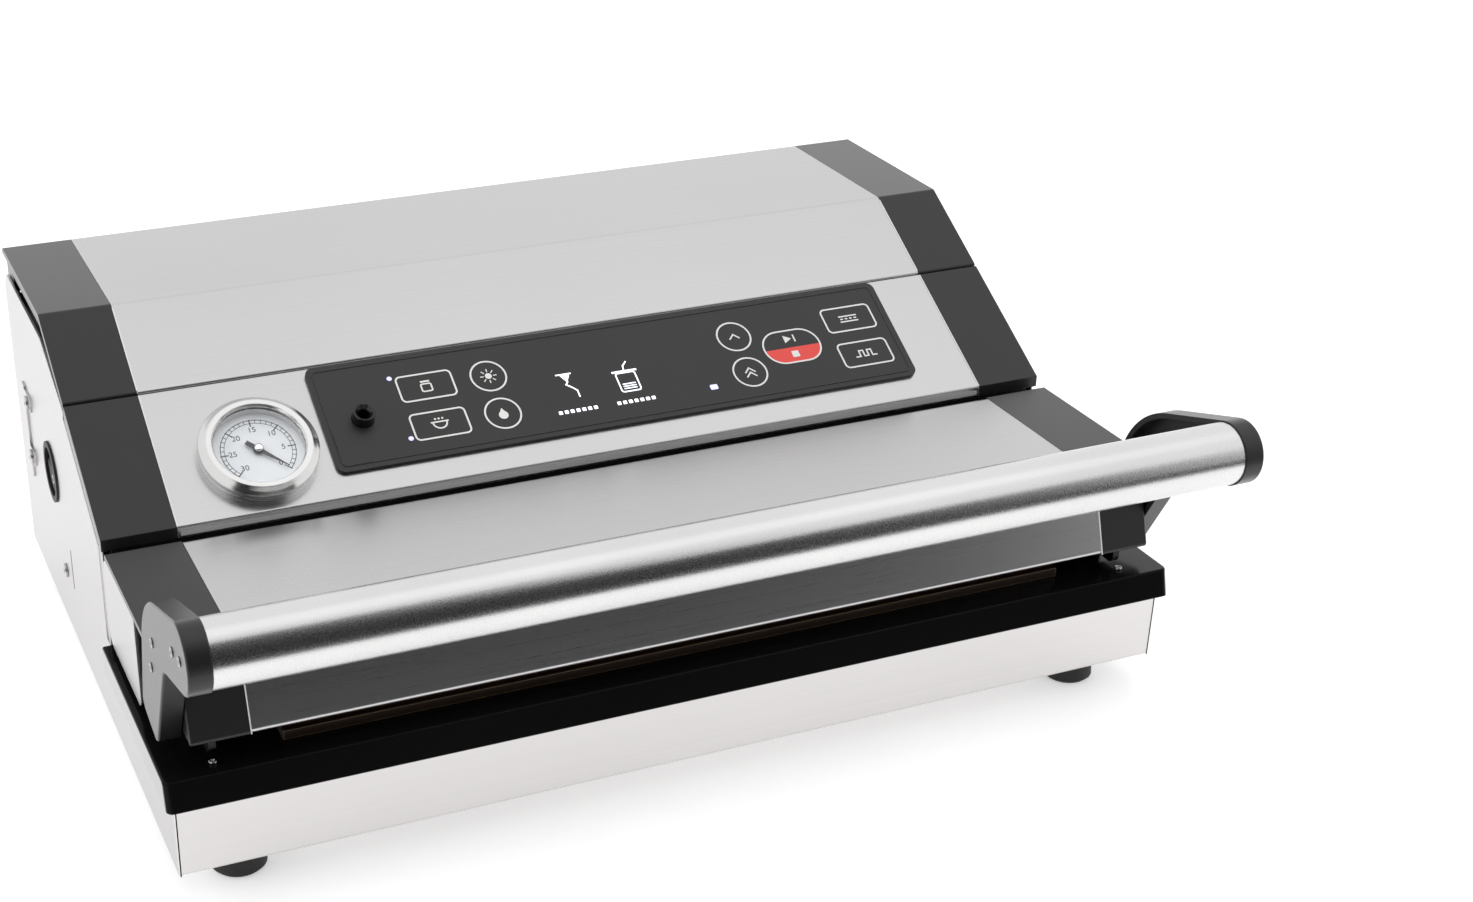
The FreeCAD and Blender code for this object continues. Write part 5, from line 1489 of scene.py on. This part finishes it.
@dataclass
class ControlFace(Assembly):
    """Sloped control face with its plate, keys, lamps and lit symbols."""

    slope: Slope = Slope()
    plate_top: float = 1.6 * MM
    plate_height: float = 54.5 * MM
    plate_drop: float = 28.05 * MM
    print_height: float = 0.12 * MM
    red_height: float = 0.06 * MM
    border_height: float = 0.18 * MM
    line: float = 0.8 * MM
    stroke: float = 0.7 * MM
    thin_stroke: float = 0.6 * MM
    key_width: float = 25.2 * MM
    key_height: float = 14.0 * MM
    key_corner: float = 2.5 * MM
    key_round: float = 8.2 * MM
    capsule_width: float = 28.4 * MM
    capsule_height: float = 18.4 * MM
    capsule_corner: float = 0.49  # share of the height
    red_top: float = -0.6 * MM
    border_inset: float = 2.4 * MM
    border_corner: float = 2.4 * MM
    border_line: float = 0.5 * MM
    hem_highlight_width: float = 2.2 * MM
    hem_highlight_z: float = 102.1 * MM
    lamp_radius: float = 1.15 * MM
    lamp_rise: float = 0.4
    lamp_places: tuple[Point, ...] = (mm(-80.2, 12.8), mm(-80.2, 44.5))
    window_place: Point = mm(59.8, 44.0)
    window_size: Place = mm(3.6, 2.6, 0.6)  # width, height and corner
    funnel_place: Point = mm(-4.6, 30.6)
    jar_place: Point = mm(22.6, 31.6)
    meter_drop: float = 44.2 * MM
    meter_bars: int = 7
    meter_pitch: float = 2.7 * MM
    meter_bar: Place = mm(1.674, 1.7, 0.2)  # width, height and corner

    finishes: ClassVar[Finishes] = {
        Surface.STEEL_ACROSS: ("fascia_panel",),
        Surface.STRIP: ("fascia_end_left", "fascia_end_right"),
        Surface.INNER: ("inner_chassis",),
        Surface.PLATE: ("control_plate", *(spot.node for spot in KEYS)),
        Surface.BOARD: ("control_board",),
        Surface.PORT: ("accessory_port",),
    }

    def draw_outline(self, pen: SignPen, shape: KeyShape) -> None:
        """Draw the white line along a key's edge.

        Args:
            pen: The pen of the key's sign.
            shape: The key's outline.
        """
        match shape:
            case KeyShape.ROUND:
                pen.ring((0, 0), self.key_round, self.line)
            case KeyShape.SQUARE:
                pen.outline(self.key_width, self.key_height, self.key_corner, self.line)
            case KeyShape.CAPSULE:
                corner = self.capsule_height * self.capsule_corner
                pen.outline(self.capsule_width, self.capsule_height, corner, self.line)

    def draw_sign(self, pen: SignPen, sign: KeySign) -> None:
        """Draw a key's own symbol, by its places in millimetres from the key's middle.

        Args:
            pen: The pen of the key's sign.
            sign: The symbol.
        """
        wide = self.stroke
        match sign:
            case KeySign.JAR:
                pen.outline(*mm(5.2, 4.6, 1.1), wide, mm(0, -0.7))
                pen.bar(mm(-1.6, 2.5), mm(1.6, 2.5), wide * 1.3)
            case KeySign.BOWL:
                pen.ring(mm(0, 0.8), 3.4 * MM, wide, lambda place: place.y < 0)
                pen.bar(mm(-3.6, 1.1), mm(3.6, 1.1), wide)
                for x in (-1.6, 0.0, 1.6):
                    pen.disc(mm(x, 2.7), 0.5 * MM, sides=16)
            case KeySign.SUN:
                pen.disc((0, 0), 1.5 * MM)
                for ray in range(8):
                    angle = ray * math.pi / 4
                    pen.bar(spoke(angle, 2.4 * MM), spoke(angle, 3.5 * MM), wide * 0.7)
            case KeySign.DROP:
                pen.disc(mm(0, -0.9), 2.1 * MM)
                pen.triangle(mm(0, 0.7), 2.05 * MM, Heading.UP)
            case KeySign.CHEVRON | KeySign.CHEVRONS:
                for lift in (0.0,) if sign is KeySign.CHEVRON else (-1.4, 1.0):
                    pen.path([mm(-2.2, lift - 1.0), mm(0, lift + 1.2), mm(2.2, lift - 1.0)], wide)
            case KeySign.START:
                pen.triangle(mm(-1.2, 4.2), 2.4 * MM, Heading.RIGHT)
                pen.bar(mm(2.6, 2.6), mm(2.6, 5.8), wide)
                pen.plate(*mm(3.4, 3.4, 0.3), mm(0, -4.4))
            case KeySign.SEAL:
                for y in (1.5, -1.5):
                    pen.bar(mm(-4.2, y), mm(4.2, y), wide)
                for x in (-3.4, -1.1, 1.1, 3.4):
                    pen.bar(mm(x - 0.3, 0), mm(x + 0.3, 0), wide)
            case KeySign.WAVE:
                turns = (-5.0, -3.0, -3.0, -1.0, -1.0, 1.0, 1.0, 3.0, 3.0, 5.0)
                levels = (-1.6, -1.6, 1.6, 1.6, -1.6, -1.6, 1.6, 1.6, -1.6, -1.6)
                pen.path([mm(x, y) for x, y in zip(turns, levels)], wide)

    def build_keys(self) -> None:
        """Print each key's outline and symbol on its cap."""
        for spot in KEYS:
            low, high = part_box(spot.node)
            place = self.slope.at((low.x + high.x) / 2, spot.row.value, self.plate_top)
            if spot.shape is KeyShape.CAPSULE:
                self.build_stop_half(place)
            pen = SignPen(f"{spot.node}_sign")
            self.draw_outline(pen, spot.shape)
            self.draw_sign(pen, spot.sign)
            sign = pen.raised(place, self.print_height)
            self.hand_over(sign, spot.node, Surface.SIGN_WHITE, "key_black")

    def build_stop_half(self, place: Matrix) -> None:
        """Print the red lower half of the capsule key.

        Args:
            place: The middle of the key's cap.
        """
        pen = SignPen("start_key_red")
        height = self.capsule_height - self.line
        plate = pen.plate(self.capsule_width - self.line, height, height * self.capsule_corner)
        with editing_all(plate):
            bpy.ops.mesh.bisect(plane_co=(0, self.red_top, 0), plane_no=(0, 1, 0), clear_outer=True)
        half = pen.raised(place, self.red_height)
        self.hand_over(half, "start_key", Surface.SIGN_RED, "key_black")

    def build_lamps(self) -> None:
        """Model two small lamps as shallow domes, and the lit window with them."""
        lamps = [
            settle(dome(self.lamp_radius, self.lamp_rise), self.slope.at(*place, self.plate_top))
            for place in self.lamp_places
        ]
        window = SignPen("plate_window")
        window.plate(*self.window_size)
        lamps.append(window.raised(self.slope.at(*self.window_place, self.plate_top), self.print_height))
        self.hand_over(join(lamps, "plate_lamps"), "base", Surface.LAMP, "lens")

    def print_symbol(self, pen: SignPen, x: float, drop: float) -> None:
        """Print a lit symbol on the plate."""
        sign = pen.raised(self.slope.at(x, drop, self.plate_top), self.print_height)
        self.hand_over(sign, "base", Surface.SYMBOL, "lens")

    def build_symbols(self) -> None:
        """Print the two lit symbols, by their places in millimetres from each one's middle."""
        thin = self.thin_stroke
        funnel = SignPen("funnel_symbol")
        funnel.bar(mm(-3.6, 6.0), mm(3.0, 6.0), thin)
        funnel.triangle(mm(0.2, 4.6), 3.0 * MM, Heading.DOWN)
        stem = ((0.4, 1.8), (-0.8, 0.4), (1.6, -1.6), (3.2, -3.4), (3.2, -6.6))
        funnel.path([mm(*point) for point in stem], thin)
        self.print_symbol(funnel, *self.funnel_place)
        jar = SignPen("jar_symbol")
        jar.outline(*mm(9.6, 10.6, 1.4), thin, mm(0, -2.2))
        jar.bar(mm(-5.4, 3.6), mm(5.4, 3.6), 0.9 * MM)
        jar.path([mm(0, 4.0), mm(0.4, 6.4), mm(2.4, 8.4)], thin)
        for lift in (-5.6, -4.4, -3.2):
            jar.bar(mm(-2.8, lift), mm(2.8, lift), 0.5 * MM)
        self.print_symbol(jar, *self.jar_place)

    def build_meters(self) -> None:
        """Print the level bars under the two symbols."""
        for name, place in (("funnel_meter", self.funnel_place), ("jar_meter", self.jar_place)):
            meter = SignPen(name)
            for i in range(self.meter_bars):
                middle = (i - (self.meter_bars - 1) / 2) * self.meter_pitch
                meter.plate(*self.meter_bar, (middle, 0))
            self.print_symbol(meter, place[0], self.meter_drop)

    def build_border(self) -> None:
        """Raise the fine line that runs round the plate inside its edge."""
        low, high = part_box("control_plate")
        width, height = (size - 2 * self.border_inset for size in (high.x - low.x, self.plate_height))
        pen = SignPen("plate_border")
        pen.outline(width, height, self.border_corner, self.border_line)
        place = self.slope.at((low.x + high.x) / 2, self.plate_drop, self.plate_top)
        self.hand_over(pen.raised(place, self.border_height), "base", Surface.PORT, "key_black")

    def build_hem_highlight(self) -> None:
        """Lay a light strip along the lip at the slope's foot: a painted highlight on the lip's folded
        hem.
        """
        low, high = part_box("fascia_panel")
        pen = SignPen("fascia_hem_highlight")
        pen.bar((low.x + self.hem_highlight_width, 0), (high.x - self.hem_highlight_width, 0), self.hem_highlight_width)
        place = Matrix.Translation((0, low.y, self.hem_highlight_z)) @ FACING_FRONT
        self.hand_over(pen.raised(place, self.print_height), "base", Surface.HEM, "steel")

    def build(self) -> None:
        """Model the painted highlights on the sheet edges and the lip's hem, the border, signs, lamps
        and symbols.
        """
        ends = (self.slope.along(0), self.slope.along(self.slope.length))
        SheetEdgeHighlight("fascia_edge_highlight", "base", *ends).build(self)
        self.build_hem_highlight()
        self.build_border()
        self.build_keys()
        self.build_lamps()
        self.build_symbols()
        self.build_meters()


@dataclass
class DialGauge(Assembly):
    """Vacuum gauge: printed scale, figures and the cap on the pointer's hub."""

    slope: Slope = Slope()
    drop: float = 38.1 * MM
    dial_top: float = 1.6 * MM
    hub_top: float = 3.5 * MM
    print_height: float = 0.06 * MM
    scale_radius: float = 15.6 * MM
    outer_line: float = 0.3 * MM
    inner_line: float = 0.2 * MM
    long_tick: Point = mm(3.0, 0.5)  # length and width
    short_tick: Point = mm(1.6, 0.25)
    figure_radius: float = 10.6 * MM
    figure_size: float = 3.6 * MM
    first_angle: float = -45.0
    step_angle: float = 45.0
    end_angle: float = 1.0  # that the arcs run on beyond the first and last tick
    steps: int = 6
    fine_steps: int = 5
    step_value: int = 5
    cap_radius: float = 2.0 * MM
    cap_rise: float = 0.45

    finishes: ClassVar[Finishes] = {
        Surface.HARDWARE: ("gauge_case",),
        Surface.CHROME: ("gauge_bezel",),
        Surface.DIAL: ("gauge_dial",),
        Surface.INK: ("gauge_needle",),
        Surface.PANE: ("gauge_lens",),
    }

    def place(self, height: float) -> Matrix:
        """Return the gauge's middle at a height above the slope."""
        low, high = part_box("gauge_bezel")
        return self.slope.at((low.x + high.x) / 2, self.drop, height)

    def build_scale(self) -> None:
        """Print the arcs, the ticks and the numbers."""
        pen = SignPen("dial_scale")
        sweep = math.radians(self.step_angle * self.steps / 2 + self.end_angle)

        def within(place: Vector) -> bool:
            """Say whether a place lies in the swept part of the scale."""
            return abs(math.atan2(place.x, place.y)) < sweep

        pen.ring((0, 0), self.scale_radius, self.outer_line, within)
        pen.ring((0, 0), self.scale_radius - self.short_tick[0], self.inner_line, within)
        for i in range(self.steps * self.fine_steps + 1):
            angle = math.radians(self.first_angle + i * self.step_angle / self.fine_steps)
            step, between = divmod(i, self.fine_steps)
            length, width = self.short_tick if between else self.long_tick
            pen.bar(spoke(angle, self.scale_radius - length), spoke(angle, self.scale_radius), width)
            if not between:
                value = str(step * self.step_value)
                pen.number(value, spoke(angle, self.figure_radius), self.figure_size)
        scale = pen.raised(self.place(self.dial_top), self.print_height)
        self.hand_over(scale, "base", Surface.INK, "needle_black")

    def build_cap(self) -> None:
        """Model the bright cap on the pointer's hub."""
        cap = settle(dome(self.cap_radius, self.cap_rise), self.place(self.hub_top))
        cap.name = "needle_cap"
        self.hand_over(cap, "needle", Surface.CHROME, "chrome_ring")

    def build(self) -> None:
        """Model the scale and the cap."""
        self.build_scale()
        self.build_cap()

    def dress(self) -> None:
        """Give the gauge's nodes their finishes; its window lets light fall on the dial."""
        super().dress()
        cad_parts["gauge_lens"].visible_shadow = False


@dataclass
class InnerWorks(Assembly):
    """Pump, motor, valve, hose and transformer inside the body."""

    finishes: ClassVar[Finishes] = {
        Surface.CAST: ("vacuum_pump", "release_valve"),
        Surface.HARDWARE: ("pump_motor",),
        Surface.WINDING: ("transformer",),
        Surface.RUBBER: ("vacuum_hose",),
    }


@dataclass
class MainsEntry(Assembly):
    """Mains inlet at the back and the round switch on the left, with the switch's marks."""

    axle_y: float = 89.1 * MM
    axle_z: float = 86.0 * MM
    face_x: float = -214.89 * MM
    ridge_rise: float = 1.04 * MM
    tilt: float = math.radians(24.0)
    mark_reach: float = 4.8 * MM
    mark_height: float = 0.08 * MM
    bar_end: float = 1.6 * MM
    bar_width: float = 0.8 * MM
    ring_radius: float = 2.0 * MM
    ring_width: float = 0.6 * MM

    finishes: ClassVar[Finishes] = {
        Surface.INNER: ("power_inlet", "switch_bezel", "power_rocker"),
    }

    def print_mark(self, pen: SignPen, place: Matrix) -> None:
        """Print a mark on the rocker."""
        mark = pen.raised(place @ Side.LEFT.turn, self.mark_height)
        self.hand_over(mark, "rocker", Surface.SIGN_WHITE, "rocker_black")

    def build(self) -> None:
        """Print the bar on the rocker's tilted upper half and the ring on its upright lower half."""
        ridge = Matrix.Translation((self.face_x, self.axle_y, self.axle_z + self.ridge_rise))
        upper = Matrix.Rotation(self.tilt, 4, "Y") @ Matrix.Translation((0, 0, self.mark_reach))
        bar = SignPen("rocker_bar")
        bar.bar((-self.bar_end, 0), (self.bar_end, 0), self.bar_width)
        self.print_mark(bar, ridge @ upper)
        ring = SignPen("rocker_ring")
        ring.ring((0, 0), self.ring_radius, self.ring_width)
        self.print_mark(ring, ridge @ Matrix.Translation((0, 0, -self.mark_reach)))


# Studio


@dataclass(frozen=True)
class SoftBox:
    """One large soft lamp."""

    name: str
    place: Place
    aim: Place
    width: float
    depth: float
    power: float
    mirrored: bool = False

    def build(self) -> None:
        """Hang the lamp."""
        lamp = bpy.data.lights.new(self.name, "AREA")
        lamp.shape = "RECTANGLE"
        lamp.size = self.width
        lamp.size_y = self.depth
        lamp.energy = self.power
        holder = bpy.data.objects.new(self.name, lamp)
        bpy.context.scene.collection.objects.link(holder)
        way = Vector(self.aim) - Vector(self.place)
        holder.location = self.place
        holder.rotation_euler = way.to_track_quat("-Z", "Y").to_euler()
        holder.visible_camera = False
        holder.visible_glossy = self.mirrored


@dataclass(frozen=True)
class DarkCard:
    """Dark card that only reflections show."""

    name: str
    place: Place
    size: Point
    tilt: float
    colour: Colour = (0.015, 0.015, 0.015)
    roughness: float = 0.9

    def build(self) -> None:
        """Stand the card."""
        card = added(
            bpy.ops.mesh.primitive_plane_add, size=1, location=self.place, rotation=(self.tilt, 0, 0)
        )
        card.name = self.name
        card.scale = (*self.size, 1)
        material, graph, shader = new_material(f"{self.name}_black")
        graph.wire(shader, {"Base Color": self.colour, "Roughness": self.roughness})
        card.data.materials.append(material)
        card.visible_camera = False
        card.visible_diffuse = False
        card.visible_shadow = False


@dataclass
class Studio:
    """Pale floor, white surroundings, soft lamps, dark cards in front and the camera."""

    floor_size: float = 14.0
    floor_colour: Colour = (0.86, 0.86, 0.86)
    floor_roughness: float = 0.7
    floor_gloss: float = 0.2
    floor_lift: float = 0.42
    world_level: float = 0.62
    cards: tuple[DarkCard, ...] = (
        DarkCard("front_card", (-0.15, -1.5, 0.56), (2.7, 1.12), math.pi / 2),
        DarkCard("upper_card", (-0.4, -1.5, 1.72), (2.1, 1.2), math.pi / 2),
        DarkCard("floor_card", (0.6, -0.98, 0.002), (4.2, 1.04), 0.0),
    )
    boxes: tuple[SoftBox, ...] = (
        SoftBox("overhead", (0.1, -0.05, 1.75), (0.0, 0.0, 0.0), 2.4, 1.7, power=12.0),
        SoftBox("left", (-1.7, 0.35, 0.75), (0.0, 0.0, 0.1), 1.5, 1.3, power=11.0),
        SoftBox("right", (1.9, -0.5, 1.1), (0.0, 0.0, 0.1), 1.2, 1.2, power=4.0),
        SoftBox("slope", (0.55, -0.15, 1.8), (0.55, -0.15, 0.0), 1.8, 0.9, power=1.0, mirrored=True),
    )
    image_width: float = 1473.0
    image_height: float = 902.0
    focal_pixels: float = 2211.68
    principal: Point = (559.95, 499.96)
    sensor: float = 36.0
    nearest: float = 10 * MM
    camera_place: Place = (-0.34022, -0.79342, 0.51088)
    azimuth: float = math.radians(22.43)
    elevation: float = math.radians(26.887)
    roll: float = math.radians(0.2165)

    def seen_mask(self, graph: Graph) -> Socket:
        """Mark the rays that show what they meet.

        Args:
            graph: The graph of a material or of the world.

        Returns:
            1 for rays of the camera, of reflections and through glass.
        """
        rays = graph.add("ShaderNodeLightPath").outputs
        seen = rays["Is Camera Ray"]
        for kind in ("Is Glossy Ray", "Is Transmission Ray"):
            seen = graph.add("ShaderNodeMath", {0: seen, 1: rays[kind]}, operation="MAXIMUM").outputs[0]
        return seen

    def build_world(self) -> None:
        """Surround the scene with white that lights it at a plain level."""
        world = bpy.data.worlds.new("surroundings")
        world.use_nodes = True
        bpy.context.scene.world = world
        graph = Graph(world.node_tree)
        level = graph.ranged(self.seen_mask(graph), self.world_level, 1.0)
        graph.wire(world.node_tree.nodes["Background"], {"Color": WHITE, "Strength": level})

    def build_floor(self) -> None:
        """Lay the pale floor, which keeps the shadow."""
        floor = added(bpy.ops.mesh.primitive_plane_add, size=self.floor_size)
        floor.name = "floor"
        material, graph, shader = new_material("floor_white")
        graph.wire(shader, {
            "Base Color": self.floor_colour,
            "Roughness": self.floor_roughness,
            "Specular IOR Level": self.floor_gloss,
            "Emission Color": WHITE,
            "Emission Strength": graph.ranged(self.seen_mask(graph), 0.0, self.floor_lift),
        })
        floor.data.materials.append(material)

    def build_camera(self) -> None:
        """Set the camera where the photograph was taken."""
        data = bpy.data.cameras.new("camera")
        camera = bpy.data.objects.new("camera", data)
        bpy.context.scene.collection.objects.link(camera)
        data.sensor_fit = "HORIZONTAL"
        data.sensor_width = self.sensor
        data.lens = self.focal_pixels / self.image_width * self.sensor
        data.shift_x = (self.image_width / 2 - self.principal[0]) / self.image_width
        data.shift_y = (self.principal[1] - self.image_height / 2) / self.image_width
        data.clip_start = self.nearest
        turn = Matrix.Rotation(-self.azimuth, 4, "Z")
        tilt = Matrix.Rotation(math.pi / 2 - self.elevation, 4, "X")
        roll = Matrix.Rotation(self.roll, 4, "Z")
        camera.matrix_world = Matrix.Translation(self.camera_place) @ turn @ tilt @ roll
        bpy.context.scene.camera = camera

    def build(self) -> None:
        """Set up the whole studio."""
        self.build_world()
        self.build_floor()
        for fitting in (*self.cards, *self.boxes):
            fitting.build()
        self.build_camera()
        bpy.context.scene.view_settings.view_transform = "Standard"


def main() -> None:
    """Build and dress every sub-assembly, then set up the studio."""
    logging.basicConfig(level=logging.INFO, format="%(name)s: %(message)s")
    shelf = Shelf()
    kinds = (BodyShell, Deck, Lid, Handle, RollStore, ControlFace, DialGauge, InnerWorks, MainsEntry)
    for kind in kinds:
        assembly = kind(shelf)
        assembly.build()
        assembly.dress()
        LOG.info("%s is done", kind.__name__)
    Studio().build()


if __name__ == "__main__":
    main()
